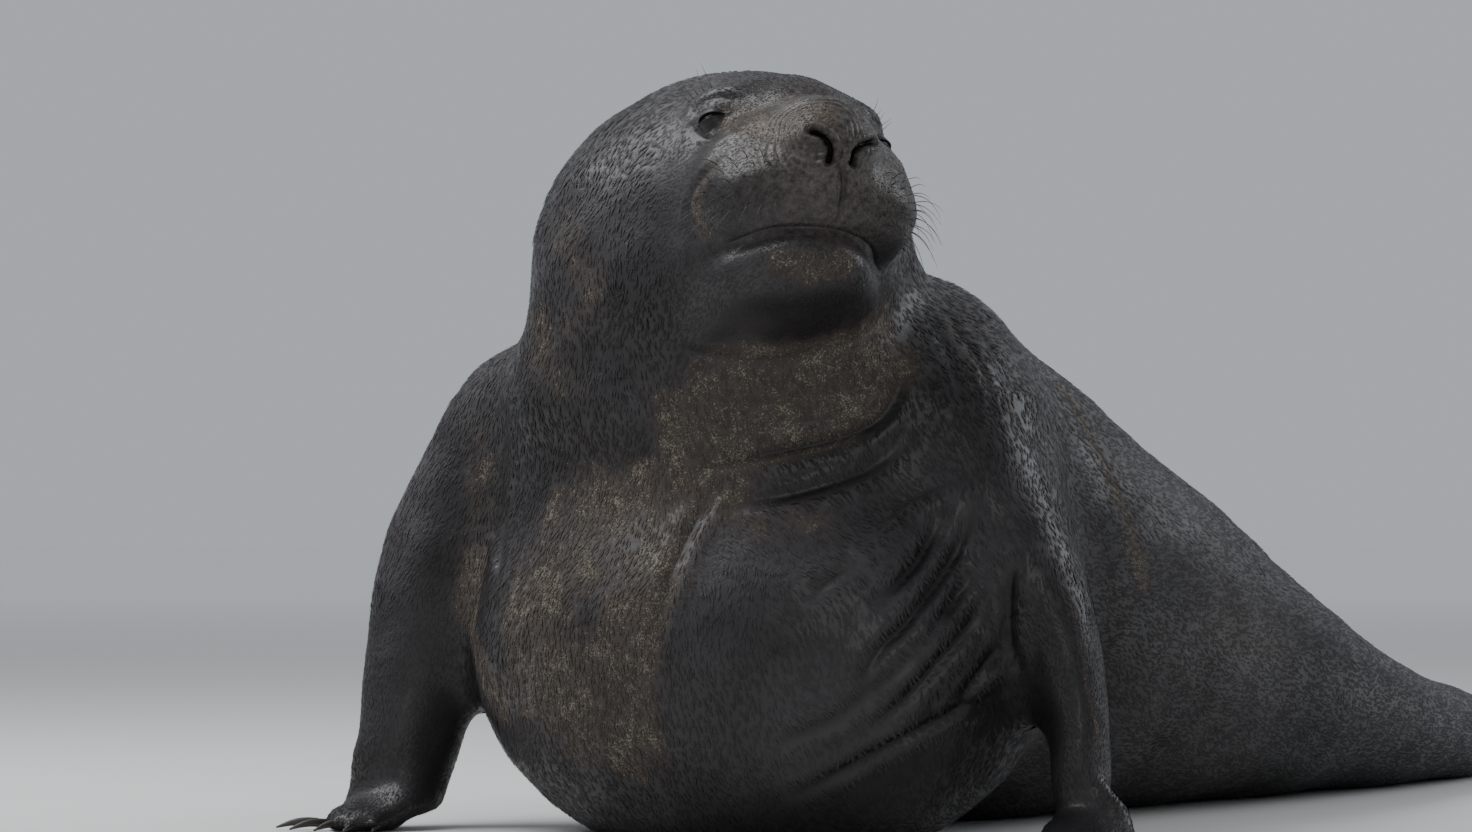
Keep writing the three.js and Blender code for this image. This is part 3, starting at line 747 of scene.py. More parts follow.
# %% Where the folds run in the picture
ARMPIT_FOLDS = [
    [(975, 503), (955, 555), (925, 600), (905, 625), (880, 650), (853, 695)],
    [(965, 580), (950, 605), (935, 625)],
    [(982, 608), (950, 650), (915, 690), (880, 722)],
    [(1003, 640), (985, 668), (955, 705)],
    [(1000, 690), (900, 740), (800, 790)],
    [(940, 520), (915, 565), (880, 600)],
    [(1012, 560), (1008, 610), (1015, 660)],
]
CHEST_FOLDS = [
    [(850, 562), (830, 578), (810, 592)],
    [(715, 492), (690, 532), (668, 582), (655, 640)],
    [(900, 665), (845, 712), (770, 745)],
    [(520, 470), (505, 520), (498, 580)],
]
THROAT_FOLDS = [
    [(700, 470), (760, 455), (830, 440), (870, 425), (893, 400), (905, 360)],
    [(735, 505), (800, 492), (865, 470), (905, 440)],
]
SOFT_THROAT_FOLDS = [
    [(640, 372), (700, 398), (770, 402), (840, 388)],
    [(650, 330), (700, 352), (780, 362), (850, 345)],
    [(590, 345), (615, 392), (660, 438)],
]
NECK_FOLDS = [
    [(918, 310), (938, 335), (952, 370), (960, 410)],
    [(935, 305), (960, 335), (982, 370), (992, 415)],
    [(950, 310), (980, 335), (1005, 375)],
]
NEAR_NOSTRIL = [(811, 131), (822, 135), (829, 143), (831, 152), (829, 161)]
FAR_NOSTRIL = [(875, 141), (862, 145), (855, 152), (852, 163)]
PHILTRUM = [(842, 158), (844, 178), (843, 200), (838, 220)]
BROW_FOLD = [(694, 108), (708, 99), (726, 96), (744, 101)]
EYE_BAG = [(690, 128), (702, 137), (720, 137), (736, 127)]
MUZZLE_SEEN = (815, 128)
PAD_RIM = [(722, 150), (710, 168), (694, 188), (688, 212), (696, 234)]
print("folds:", len(ARMPIT_FOLDS + CHEST_FOLDS + THROAT_FOLDS + SOFT_THROAT_FOLDS + NECK_FOLDS))

# %% [markdown]
# ## Line of the mouth
#
# The lips meet where the masses of the muzzle lie on those of the jaw. The line is found by
# walking out of the head at that height, in a fan from one corner to the other.

# %% Line of the mouth and the nostrils
MOUTH_FROM = np.array([0, 0, -0.279])
MOUTH_CORNER = 84
MOUTH_STEPS = 28

mouth = []
for share in np.linspace(-1, 1, MOUTH_STEPS + 1):
    turn = math.radians(MOUTH_CORNER * share)
    mouth.append(out_of_head(MOUTH_FROM, [math.sin(turn), math.cos(turn), 0])[0])
mouth = np.array(mouth)
nostrils = [seen_line(in_curve(line, 3)) for line in (NEAR_NOSTRIL, FAR_NOSTRIL)]
print("mouth is", round(float(np.linalg.norm(np.diff(mouth, axis=0), axis=1).sum()), 3), "m long")

# %% [markdown]
# ## Last cells before the folds
#
# Lids, lips and nostrils need finer triangles still. The base of the neck and the hands are
# then drawn smooth, since the field creases where their masses meet.

# %% Finer mesh round the eyes, mouth and nostrils
EYE_FINE, BALL_FINE, CREASE_FINE = 0.060, 0.7, 0.022
NECK_BASE, NECK_CLEAR, NECK_ROUNDS = (0.86, 1.24), 0.03, 70
HAND_TOP, HAND_REACH, HAND_ROUNDS = 0.34, 0.05, 9

close = np.zeros(len(points), bool)
for eye in eyes.values():
    close |= np.linalg.norm(points - eye["surface"], axis=1) < EYE_FINE
for line in (mouth, *nostrils):
    close |= line_distance(points, line) < CREASE_FINE
points, triangles = finer(points, triangles, close)
close = np.zeros(len(points), bool)
for eye in eyes.values():
    close |= np.linalg.norm(points - eye["surface"], axis=1) < EYE_FINE * BALL_FINE
points, triangles = finer(points, triangles, close)
points = settled(skin_distance, points, 1)
base_of_neck = (points[:, 2] > NECK_BASE[0]) & (points[:, 2] < NECK_BASE[1])
base_of_neck &= head_distance(points) > NECK_CLEAR
touching = triangles[base_of_neck[triangles].any(axis=1)]
points = smoothed(points, touching, NECK_ROUNDS, ~base_of_neck)
for _, limb, _, _, _ in FLIPPERS:
    hand = (limb_distance(points, limb)[0] < HAND_REACH) & (points[:, 2] < HAND_TOP)
    touching = triangles[hand[triangles].any(axis=1)]
    points = smoothed(points, touching, HAND_ROUNDS, ~hand)
normals = normals_of(points, triangles)
print("skin with fine eyes:", len(points), "points,", len(triangles), "triangles")

# %% [markdown]
# ## Press the folds in
#
# Every point of the skin gets a push along its normal. Each fold adds its own, and the depth
# reached is kept as a value that later paints shade into the creases.

# %% Press the folds in
BODY_FOLDS = [
    (ARMPIT_FOLDS, 0.013, 0.013),
    (CHEST_FOLDS, 0.014, 0.006),
    (THROAT_FOLDS, 0.013, 0.008),
    (SOFT_THROAT_FOLDS, 0.012, 0.0025),
    (NECK_FOLDS, 0.009, 0.0018),
]
FACE_FOLDS = [(BROW_FOLD, 0.010, 0.0025), (EYE_BAG, 0.008, 0.003), (PAD_RIM, 0.013, 0.006)]
PHILTRUM_SIZE = {"width": 0.006, "depth": 0.006, "lip": 0.3}
MOUTH_SIZE = {"width": 0.0045, "depth": 0.009, "lip": 0.12}
NOSTRIL_SIZE = {"width": 0.0062, "depth": 0.018, "lip": 0.30, "taper": False}
# Fold depth at which the painted crease shade is at its darkest.
FULL_SHADE_DEPTH = 0.010

push = np.zeros(len(points))
for lines, width, depth in BODY_FOLDS:
    for places in lines:
        push += folded(points, seen_line(in_curve(places, 3)), width, depth)
for places, width, depth in FACE_FOLDS:
    for line in both_sides(seen_line(in_curve(places, 3))):
        push += folded(points, line, width, depth)
push += folded(points, seen_line(PHILTRUM), **PHILTRUM_SIZE)
push += folded(points, mouth, **MOUTH_SIZE)
for line in nostrils:
    push += folded(points, line, **NOSTRIL_SIZE)

# Painted shade: the deeper a fold is pressed in, the darker its hide is painted.
hollow = np.clip(-push / FULL_SHADE_DEPTH, 0, 1)
print("deepest fold", round(float(-push.min()) * 1000, 1), "mm")

# %% [markdown]
# ## Rings, lumps and wrinkles
#
# Fine rings run over the muzzle round the nose. Broad swells of blubber and shallow wrinkles
# cover the body but not the head, and smaller lumps lie all over.

# %% Rings over the muzzle, loose skin and lumps of blubber
RING_STEP, RING_RISE, RING_WARP = 0.0125, 0.0011, 0.004
RING_MIDDLE, RING_SPREAD = 0.075, 0.065
RING_LOW, RING_FADE = 4.5, 0.05
SWELL_RISE, SWELL_SIZE = 0.0035, 0.42
LUMP_RISE, LUMP_SIZE = 0.0012, 0.11
WRINKLE_DEPTH, WRINKLE_SIZE = 0.0007, 0.075
SMOOTH_HEAD, HEAD_FADE = 0.36, 0.10
HEAD_MIDDLE = [0, 0, -0.15]

muzzle_centre = seen_at(*MUZZLE_SEEN)
local = in_head(points)
ring_reach = np.linalg.norm(points - muzzle_centre, axis=1)
warp = RING_WARP * waves(points, 0.10, seed=3)
ring_mask = np.clip(1 - np.abs(ring_reach - RING_MIDDLE) / RING_SPREAD, 0, 1)
ring_mask = ring_mask * np.clip(local[:, 2] / RING_FADE + RING_LOW, 0, 1)
push += RING_RISE * ring_mask * np.sin(2 * math.pi * (ring_reach + warp) / RING_STEP)

from_middle = np.linalg.norm(points - from_head(HEAD_MIDDLE), axis=1)
on_head = np.clip((SMOOTH_HEAD - from_middle) / HEAD_FADE, 0, 1)
push += SWELL_RISE * (1 - on_head) * waves(points, SWELL_SIZE, seed=5)
push += LUMP_RISE * waves(points, LUMP_SIZE, seed=6)
crease = 1 - np.abs(waves(points * [1, 1, 2.2], WRINKLE_SIZE, seed=7))
push -= WRINKLE_DEPTH * (1 - on_head) * np.clip(crease, 0, 1) ** 3
print("rings reach", int((ring_mask > 0).sum()), "points")

# %% [markdown]
# ## Lids
#
# The lids lie on the ball like a sleeve with a slit. Over the ball the hide follows the
# sphere, a lid's thickness out, and inside an almond it drops behind the ball, so that wet
# eye shows only there. Round the slit the hide is painted darker, as shade of the deep socket.

# %% Lids over the balls
SLIT_HALF, SLIT_RISE, LID_THICK = 0.0265, 0.0056, 0.0034
SLIT_SLANT = -10
SLIT_EDGE = 0.06
LID_REACH = 0.0672
LID_SOFTNESS = 0.0016
ORBIT_DEPTH, ORBIT_PLACE, ORBIT_SPREAD = 0.0022, 0.044, 0.016
RIM_RISE, RIM_PLACE, RIM_SPREAD = 0.0012, 1.35, 0.30
BEHIND_BALL, FOLD_FREE = 0.007, 0.03
# Strength and spread of the painted shade round the eye slit.
SOCKET_SHADE, SOCKET_SHADE_SPREAD = 0.9, 2.1

for eye in eyes.values():
    rel = points - eye["surface"]
    near = np.linalg.norm(rel, axis=1) < LID_REACH
    slant = math.radians(SLIT_SLANT * eye["side"])
    x = rel[near] @ eye["across"]
    y = rel[near] @ eye["up"]
    x, y = (
        x * math.cos(slant) + y * math.sin(slant),
        y * math.cos(slant) - x * math.sin(slant),
    )
    r = np.hypot(x, y)
    ball = np.sqrt(np.maximum(EYE_RADIUS**2 - r**2, 0)) - EYE_SUNK
    height = rel[near] @ eye["normal"]
    lid = ball + LID_THICK
    slit = SLIT_RISE * (1 - 0.25 * (x / SLIT_HALF) ** 2).clip(0.3)
    almond = np.hypot(x / SLIT_HALF, y / slit)
    orbit = ORBIT_DEPTH * np.exp(-(((r - ORBIT_PLACE) / ORBIT_SPREAD) ** 2))
    over = LID_SOFTNESS * np.log1p(np.exp(np.clip((lid - height) / LID_SOFTNESS, -30, 30)))
    rim = RIM_RISE * np.exp(-(((almond - RIM_PLACE) / RIM_SPREAD) ** 2))
    open_share = 1 / (1 + np.exp((almond - 1) / SLIT_EDGE))
    inner = ball - BEHIND_BALL - height
    closed = push[near] * np.clip(r / FOLD_FREE, 0, 1) - orbit + over + rim
    push[near] = closed * (1 - open_share) + inner * open_share
    # Painted shade round the slit for the deep socket, kept with the painted crease shade.
    dark = SOCKET_SHADE * np.exp(-((almond / SOCKET_SHADE_SPREAD) ** 4))
    hollow[near] = np.maximum(hollow[near], dark)

points = points + normals * push[:, None]
points[:, 2] = np.maximum(points[:, 2], FLOOR_SKIN)
normals = normals_of(points, triangles)
print("push from", round(float(push.min()), 4), "to", round(float(push.max()), 4))

# %% [markdown]
# ## Where the sand sticks
#
# Sand clings to the breast, the throat, the muzzle and in streaks over the back. Each stretch
# is a line in the picture, with how far the sand reaches from it in metres and how thick it
# lies. One thin line down the left fore flipper's trailing edge is a painted highlight, drawn
# like sand. The same value is written on the skin and on every blade of hair.

# %% Where the sand sticks
SAND_EDGE = 1.15
SAND_WAVES = [(0.10, 0.60, 21), (0.05, 0.15, 22)]
SAND_AND_HIGHLIGHT_LINES = [
    ([(700, 480), (660, 500), (600, 500), (560, 520)], 0.16, 1.0),
    ([(600, 520), (545, 580), (530, 650), (570, 700)], 0.21, 1.0),
    ([(655, 540), (630, 620), (615, 690), (625, 740)], 0.14, 0.9),
    ([(478, 560), (470, 610), (480, 660), (500, 700)], 0.07, 1.0),
    ([(690, 425), (760, 380), (830, 368), (875, 350)], 0.15, 1.0),
    ([(740, 455), (800, 442), (850, 425), (885, 395)], 0.035, 1.5),
    ([(540, 330), (565, 380), (610, 440), (650, 470)], 0.12, 0.6),
    ([(470, 440), (480, 480), (490, 520)], 0.13, 0.5),
    ([(1060, 388), (1082, 420), (1104, 470), (1125, 520), (1142, 580)], 0.045, 1.0),
    ([(1150, 560), (1200, 600), (1300, 650)], 0.12, 0.4),
    ([(925, 300), (960, 345), (1000, 395), (1030, 440)], 0.022, 0.7),
    ([(945, 295), (990, 345), (1030, 395)], 0.016, 0.7),
    # Painted highlight: a thin pale stripe down the left fore flipper's trailing edge, drawn like sand.
    ([(1040, 480), (1058, 560), (1080, 650), (1100, 740), (1112, 815)], 0.014, 0.8),
    ([(745, 530), (790, 520), (840, 528)], 0.05, 0.45),
    ([(560, 215), (590, 290), (560, 330)], 0.09, 0.45),
    ([(738, 118), (765, 122), (795, 122), (815, 112)], 0.065, 1.1),
    ([(712, 170), (700, 190), (697, 215), (705, 230)], 0.035, 1.0),
    ([(780, 262), (815, 270), (845, 262)], 0.06, 0.75),
]


def sand_and_highlight_of(p):
    """How much sand sticks at each p, with the painted highlight on the left fore flipper's edge, from
    about -0.1 to 1.6.
    """
    sand = np.zeros(len(p))
    for places, reach, strength in SAND_AND_HIGHLIGHT_LINES:
        line = seen_line(in_curve(places, 2))
        low, high = line.min(axis=0) - reach, line.max(axis=0) + reach
        near = ((p > low) & (p < high)).all(axis=1)
        share = np.clip(SAND_EDGE - line_distance(p[near], line) / reach, 0, 1)
        sand[near] = np.maximum(sand[near], strength * share * share * (3 - 2 * share))
    for height, size, seed in SAND_WAVES:
        sand = sand + height * waves(p, size, seed=seed)
    return sand


# %% [markdown]
# ## The skin and the eyes as pieces
#
# The skin stands for all the nodes of flesh at once, so that no cut between them shows. Each
# eyeball is a piece of its own behind its lids.

# %% The skin as one piece
skin_mesh = mesh_from("skin", points + ORIGIN, triangles)
smooth_shade(skin_mesh)
# The first value paints shade into the creases and round the eyes; the second is sand, with one painted
# highlight.
for label, values in (("hollow", hollow), ("sand", sand_and_highlight_of(points))):
    layer = skin_mesh.attributes.new(label, "FLOAT", "POINT")
    layer.data.foreach_set("value", values.astype(np.float32))
add_piece("skin", skin_mesh, FLESH_NODES)
print("skin stands for", len(FLESH_NODES), "nodes")

# %% Eyeballs
BALL_SIDES, BALL_RINGS, BALL_GAP = 64, 48, 0.0004

for name, eye in eyes.items():
    ball = bmesh.new()
    bmesh.ops.create_uvsphere(
        ball, u_segments=BALL_SIDES, v_segments=BALL_RINGS, radius=EYE_RADIUS - BALL_GAP
    )
    mesh = bpy.data.meshes.new(f"eyeball_{name}")
    ball.to_mesh(mesh)
    ball.free()
    mesh.transform(Matrix.Translation(Vector(eye["centre"] + ORIGIN)))
    smooth_shade(mesh)
    add_piece(f"eyeball_{name}", mesh, [f"eye_{name}"])

# %% [markdown]
# ## Claws
#
# Each digit of a fore flipper ends in a long dark nail, and those of the hind flippers in
# short stubs. A nail is a tapered tube bent a little toward the ground.

# %% Claws
CLAW_SIDES, CLAW_STEPS = 10, 9
CLAW_ROOT, CLAW_SHARE = 0.040, 0.75
CLAW_ARCH, CLAW_DROP = 0.006, 0.003
CLAW_THICK, CLAW_TAPER = 0.72, 0.82
ABOVE_FLOOR = 0.001


def tube(centres, radii, sides):
    """Points and faces of a closed tube with its own radius at each centre."""
    centres = np.asarray(centres, float)
    slopes = np.gradient(centres, axis=0)
    rings = []
    for centre, slope, radius in zip(centres, slopes, radii):
        slope = slope / np.linalg.norm(slope)
        guide = np.array([0, 0, 1.0]) if abs(slope[2]) < 0.9 else np.array([1.0, 0, 0])
        u = np.cross(slope, guide)
        u /= np.linalg.norm(u)
        v = np.cross(slope, u)
        turn = np.arange(sides) * 2 * math.pi / sides
        rings.append(centre + radius * (np.cos(turn)[:, None] * u + np.sin(turn)[:, None] * v))
    faces = []
    for i in range(len(rings) - 1):
        for k in range(sides):
            a, b = i * sides + k, i * sides + (k + 1) % sides
            faces.append([a, a + sides, b + sides, b])
    faces.append(list(range(sides)))
    faces.append([(len(rings) - 1) * sides + k for k in reversed(range(sides))])
    return np.vstack(rings), faces


def joined_tubes(tubes):
    """Several tubes as one mesh's points and faces."""
    all_points, all_faces, count = [], [], 0
    for tube_points, tube_faces in tubes:
        all_points.append(tube_points)
        all_faces += [[i + count for i in face] for face in tube_faces]
        count += len(tube_points)
    return np.vstack(all_points), all_faces


claws = []
for _, _, _, digits, sizes in FLIPPERS:
    for foot, end in digits:
        out = (end - foot) / np.linalg.norm(end - foot)
        length = CLAW_ROOT + (sizes["tip"] + sizes["nail"]) * CLAW_SHARE
        share = np.linspace(0, 1, CLAW_STEPS)
        centres = end + out * (share[:, None] * length - CLAW_ROOT)
        centres[:, 2] += CLAW_ARCH * np.sin(share * math.pi) - CLAW_DROP * share
        radii = sizes["tip"] * CLAW_THICK * (1 - share**2 * CLAW_TAPER)
        centres[:, 2] = np.maximum(centres[:, 2], radii + ABOVE_FLOOR)
        claws.append(tube(centres, radii, CLAW_SIDES))
claw_points, claw_faces = joined_tubes(claws)
claw_mesh = mesh_from("claws", claw_points + ORIGIN, claw_faces)
smooth_shade(claw_mesh)
add_piece("claws", claw_mesh)
print(len(claws), "claws")

# %% [markdown]
# ## Whiskers
#
# A bull's whiskers are stiff and dark, and stand in rows on the pads beside the nose, longest
# at the back. A few more grow over each eye. Each is a thin tapered tube that leaves the pad
# along its normal and bends back and down under its own weight.

# %% Whiskers
WHISKER_ROWS, WHISKER_COUNT = 5, 7
WHISKER_SIDES, WHISKER_STEPS = 5, 9
WHISKER_THICK = 0.0009
SHORTEST_WHISKER, LONGER_BEHIND = 0.030, 0.065
PAD_FROM, BROW_FROM = np.array([0.06, 0.05, -0.215]), np.array([0.06, -0.03, 0.0])
BROW_WHISKERS, BROW_LENGTH = 5, (0.022, 0.042)


def whisker(root, normal, length, sweep):
    """One whisker: out along the normal, then bent by its sweep."""
    share = np.linspace(-0.04, 1, WHISKER_STEPS)[:, None]
    centres = root + normal * share * length + sweep * length * share**2
    radii = WHISKER_THICK * (1 - 0.8 * np.clip(share[:, 0], 0, 1))
    return tube(centres, radii, WHISKER_SIDES)


whiskers = []
for side in (1, -1):
    mirror = np.array([side, 1, 1])
    for row in range(WHISKER_ROWS):
        for i in range(WHISKER_COUNT - row % 2):
            share = (i + 0.5 * (row % 2)) / WHISKER_COUNT
            toward = np.array([0.050 + 0.135 * share, 0.150 - 0.170 * share, -0.030 + 0.022 * row])
            root, normal = out_of_head(PAD_FROM * mirror, toward * mirror)
            normal = normal + random.normal(size=3) * 0.10
            length = (SHORTEST_WHISKER + LONGER_BEHIND * share) * random.uniform(0.75, 1.15)
            back = -HEAD_AXES[1] * (0.35 + 0.3 * share) - np.array([0, 0, 0.35])
            back = back + random.normal(size=3) * 0.06
            whiskers.append(whisker(root - normal * INSET, normal, length, back))
    for i in range(BROW_WHISKERS):
        toward = np.array([0.075 + 0.012 * i, 0.005 - 0.010 * i, 0.052])
        root, normal = out_of_head(BROW_FROM * mirror, toward * mirror)
        lift = np.array([0, 0, 0.3]) - HEAD_AXES[1] * 0.2 + random.normal(size=3) * 0.12
        length = random.uniform(*BROW_LENGTH)
        whiskers.append(whisker(root - normal * INSET, normal, length, lift))
whisker_points, whisker_faces = joined_tubes(whiskers)
whisker_mesh = mesh_from("whiskers", whisker_points + ORIGIN, whisker_faces)
smooth_shade(whisker_mesh)
add_piece("whiskers", whisker_mesh)
print(len(whiskers), "whiskers")

# %% [markdown]
# ## The coat
#
# An elephant seal's hair is short, stiff and flat. Wet, it clumps into small points that
# overlap like thatch and all run from the nose toward the tail and out along the flippers.
# Each clump is a thin blade of three triangles, rooted in the skin, that lifts at most two
# millimetres at its tip. Blades are smallest on the face and the flippers.

# %% Which way the hair lies
LIE_SOFTNESS = 0.04
FLIPPER_PULL, CROWN_DOWN = 0.7, 0.35
HEAD_HAIR, FLIPPER_HAIR, FLIPPER_TOP = 0.03, 0.02, 0.45
FACE_HAIR, NOSE_MIDDLE = 0.22, [0, 0.10, -0.14]


def lie_of(p):
    """The way the hair points at each p, before it is laid flat on the skin."""
    distance, tangent = limb_distance(p, TRUNK_LIMB)
    weight = np.exp(-np.clip(distance, -0.2, 1) / LIE_SOFTNESS)
    lie = -tangent * weight[:, None]
    weight = np.exp(-np.clip(head_distance(p), -0.2, 1) / LIE_SOFTNESS)
    lie += (-HEAD_AXES[1] - CROWN_DOWN * HEAD_AXES[2]) * weight[:, None]
    for _, limb, _, _, _ in FLIPPERS:
        distance, tangent = limb_distance(p, limb)
        weight = np.exp(-np.clip(distance, -0.2, 1) / LIE_SOFTNESS)
        lie += tangent * weight[:, None] * FLIPPER_PULL
    return lie


def region_of(p):
    """0 on the body, 1 on the head, 2 on the face, 3 on the flippers."""
    region = np.zeros(len(p), int)
    region[head_distance(p) < HEAD_HAIR] = 1
    for _, limb, _, _, _ in FLIPPERS:
        on_limb = limb_distance(p, limb)[0] < FLIPPER_HAIR
        low_down = p[:, 2] < FLIPPER_TOP
        region[on_limb & low_down] = 3
    region[np.linalg.norm(p - from_head(NOSE_MIDDLE), axis=1) < FACE_HAIR] = 2
    return region


# %% [markdown]
# ## Unwrap of the body
#
# For the baked picture, every blade needs a place on a flat sheet. Each mass is unrolled
# round its own line into its own rectangle of the unit square.

# %% Unwrap of the body
RECTANGLES = {
    "trunk": (0.00, 0.60, 0.00, 1.00),
    "head": (0.61, 1.00, 0.51, 1.00),
    "fore left": (0.61, 0.80, 0.26, 0.50),
    "fore right": (0.81, 1.00, 0.26, 0.50),
    "hind left": (0.61, 0.73, 0.00, 0.25),
    "hind right": (0.74, 0.86, 0.00, 0.25),
    "tail": (0.87, 1.00, 0.00, 0.25),
}


def unrolled(p, limb):
    """Turn round a limb and way along it, each from 0 to 1."""
    nearest = nearest_step(p, limb["centre"])
    rel = p - limb["centre"][nearest]
    side, up, ahead = ((rel * limb[key][nearest]).sum(axis=1) for key in ("side", "up", "tangent"))
    step = np.linalg.norm(limb["centre"][-1] - limb["centre"][0]) / (len(limb["centre"]) - 1)
    way = (nearest + np.clip(ahead / step, -4, 4)) / (len(limb["centre"]) + 7) + 0.04
    return np.arctan2(side, up) / (2 * math.pi) + 0.5, np.clip(way, 0, 1)


def unwrapped(p):
    """The place of each p on the unwrap of the skin."""
    distances = [limb_distance(p, TRUNK_LIMB)[0], head_distance(p)]
    turns = [unrolled(p, TRUNK_LIMB)]
    local = in_head(p)
    turn = np.arctan2(local[:, 0], local[:, 2] - HEAD_MIDDLE[2]) / (2 * math.pi) + 0.5
    turns.append((turn, np.clip((local[:, 1] + 0.5) / 0.8, 0, 1)))
    for _, limb, _, _, _ in FLIPPERS:
        distances.append(limb_distance(p, limb)[0])
        turns.append(unrolled(p, limb))
    owner = np.argmin(distances, axis=0)
    uv = np.zeros((len(p), 2))
    for i, (left, right, low, high) in enumerate(RECTANGLES.values()):
        mine = owner == i
        uv[mine, 0] = left + (right - left) * turns[i][0][mine]
        uv[mine, 1] = low + (high - low) * turns[i][1][mine]
    return uv


# %% [markdown]
# ## Roots of the hair
#
# Blades are sown by area, so that each stretch of skin is as densely covered as its kind of
# hair needs. Deep creases, the lids and the soles stay bare.

# %% Roots of the hair
COAT = {
    "body": {"length": 0.019, "width": 0.0040, "lift": 0.0016, "cover": 0.62},
    "head": {"length": 0.012, "width": 0.0024, "lift": 0.0007, "cover": 0.62},
    "face": {"length": 0.0075, "width": 0.0016, "lift": 0.0005, "cover": 0.55},
    "flippers": {"length": 0.010, "width": 0.0024, "lift": 0.0010, "cover": 0.55},
}
BLADE_FILL = 0.7
BARE_HOLLOW, BARE_SOLE, BARE_LID = 0.35, 0.006, 0.026

corner_points = points[triangles]
first, second, third = (corner_points[:, i] for i in range(3))
area = np.linalg.norm(np.cross(second - first, third - first), axis=1) / 2
centres = corner_points.mean(axis=1)
region = region_of(centres)
bare = hollow[triangles].max(axis=1) > BARE_HOLLOW
bare |= centres[:, 2] < BARE_SOLE
for eye in eyes.values():
    bare |= np.linalg.norm(centres - eye["surface"], axis=1) < BARE_LID

roots, picked_normals, kinds = [], [], []
for number, (name, sizes) in enumerate(COAT.items()):
    own = (region == number) & ~bare
    per_area = sizes["cover"] / (sizes["length"] * sizes["width"] * BLADE_FILL)
    expected = area * per_area * own
    count = np.floor(expected + random.random(len(area))).astype(int)
    chosen = np.repeat(np.arange(len(area)), count)
    a, b = random.random((2, len(chosen)))
    flip = a + b > 1
    a[flip], b[flip] = 1 - a[flip], 1 - b[flip]
    weights = np.stack([1 - a - b, a, b], axis=1)[:, :, None]
    roots.append((corner_points[chosen] * weights).sum(axis=1))
    picked_normals.append((normals[triangles[chosen]] * weights).sum(axis=1))
    kinds.append(np.full(len(chosen), number))
    print(name, len(chosen), "blades")
roots, up, kinds = np.vstack(roots), np.vstack(picked_normals), np.concatenate(kinds)
up /= np.linalg.norm(up, axis=1)[:, None]

# %% [markdown]
# ## Blades of hair
#
# Each blade has five points: two at its sunk root, two at its middle and one at its tip. It
# lies along the hair's way, turned a little by a slow swirl and by chance.

# %% Blades of hair
COAT_PIECES = 6
PATCH = 0.0015
LIE_JITTER, LIE_SWIRL, SWIRL_SIZE = 0.14, 0.25, 0.16
ROOT_SUNK, ROOT_HALF, MIDDLE_HALF, MIDDLE_LIFT = 0.0006, 0.3, 0.5, 0.7
BLADE_POINTS = 5
BLADE_FACES = np.array([[0, 2, 1], [1, 2, 3], [2, 4, 3]])
BLADE_UV = np.array([[-1, -1], [1, -1], [-1, 0], [1, 0], [0, 1]]) * PATCH

lie = lie_of(roots)
lie -= up * (lie * up).sum(axis=1)[:, None]
lie /= np.maximum(np.linalg.norm(lie, axis=1), 1e-6)[:, None]
across = np.cross(up, lie)
swirl = LIE_SWIRL * waves(roots, SWIRL_SIZE, seed=11) + LIE_JITTER * random.normal(size=len(roots))
lie, across = (
    lie * np.cos(swirl)[:, None] + across * np.sin(swirl)[:, None],
    across * np.cos(swirl)[:, None] - lie * np.sin(swirl)[:, None],
)
uv = unwrapped(roots)

size = random.uniform(0.7, 1.25, len(roots))[:, None]
length, width, lift = (
    np.array([sizes[key] for sizes in COAT.values()])[kinds][:, None] * size
    for key in ("length", "width", "lift")
)
root = roots - up * ROOT_SUNK
middle = roots + lie * length * 0.5 + up * lift * MIDDLE_LIFT
root_half, middle_half = across * width * ROOT_HALF, across * width * MIDDLE_HALF
tip = roots + lie * length + up * lift
blade = np.stack(
    [root - root_half, root + root_half, middle - middle_half, middle + middle_half, tip], axis=1
)
blade[:, :, 2] = np.maximum(blade[:, :, 2], ABOVE_FLOOR)

# %% [markdown]
# ## The coat as pieces
#
# The blades are dealt at random into pieces of equal size, so that each stays light. Every
# blade has a small patch of the flat sheet round its root's place.

# %% The coat as pieces
# Sand on each blade, with the painted highlight on the flipper's edge.
root_sand_and_highlight = sand_and_highlight_of(roots)
order = random.permutation(len(roots))
for number, chosen in enumerate(np.array_split(order, COAT_PIECES)):
    faces = (np.arange(len(chosen))[:, None, None] * BLADE_POINTS + BLADE_FACES).reshape(-1, 3)
    mesh = mesh_from(f"coat_{number + 1}", blade[chosen].reshape(-1, 3) + ORIGIN, faces)
    smooth_shade(mesh)
    patch = np.clip(uv[chosen][:, None] + BLADE_UV, 0, 1).reshape(-1, 2)
    layer = mesh.uv_layers.new(name="OFBake")
    layer.data.foreach_set("uv", patch[faces.ravel()].ravel().astype(np.float32))
    layer = mesh.attributes.new("sand", "FLOAT", "POINT")
    layer.data.foreach_set("value", np.repeat(root_sand_and_highlight[chosen], BLADE_POINTS).astype(np.float32))
    piece = add_piece(f"coat_{number + 1}", mesh)
    print(piece.name, len(faces), "triangles")

# %% [markdown]
# ## Colours of a wet, sandy bull
#
# Wet hide is nearly black, a little brown, and throws soft highlights. Where sand
# sticks, on the breast, the throat and in streaks over the back, it is paler, browner and
# dull, and broken into specks. The same sandy film paints a thin highlight along the left fore
# flipper's trailing edge. Skin and coat take the same markings from the same places; only the
# bare hide is painted darker as shade in its creases and round the eyes.

# %% Tools for materials


def material_of(name, **settings):
    """A material with its own shader, with constants set on the shader's sockets."""
    made = bpy.data.materials.new(name)
    made.use_nodes = True
    shader = made.node_tree.nodes["Principled BSDF"]
    for key, value in settings.items():
        shader.inputs[key.replace("_", " ")].default_value = value
    return made, made.node_tree, shader


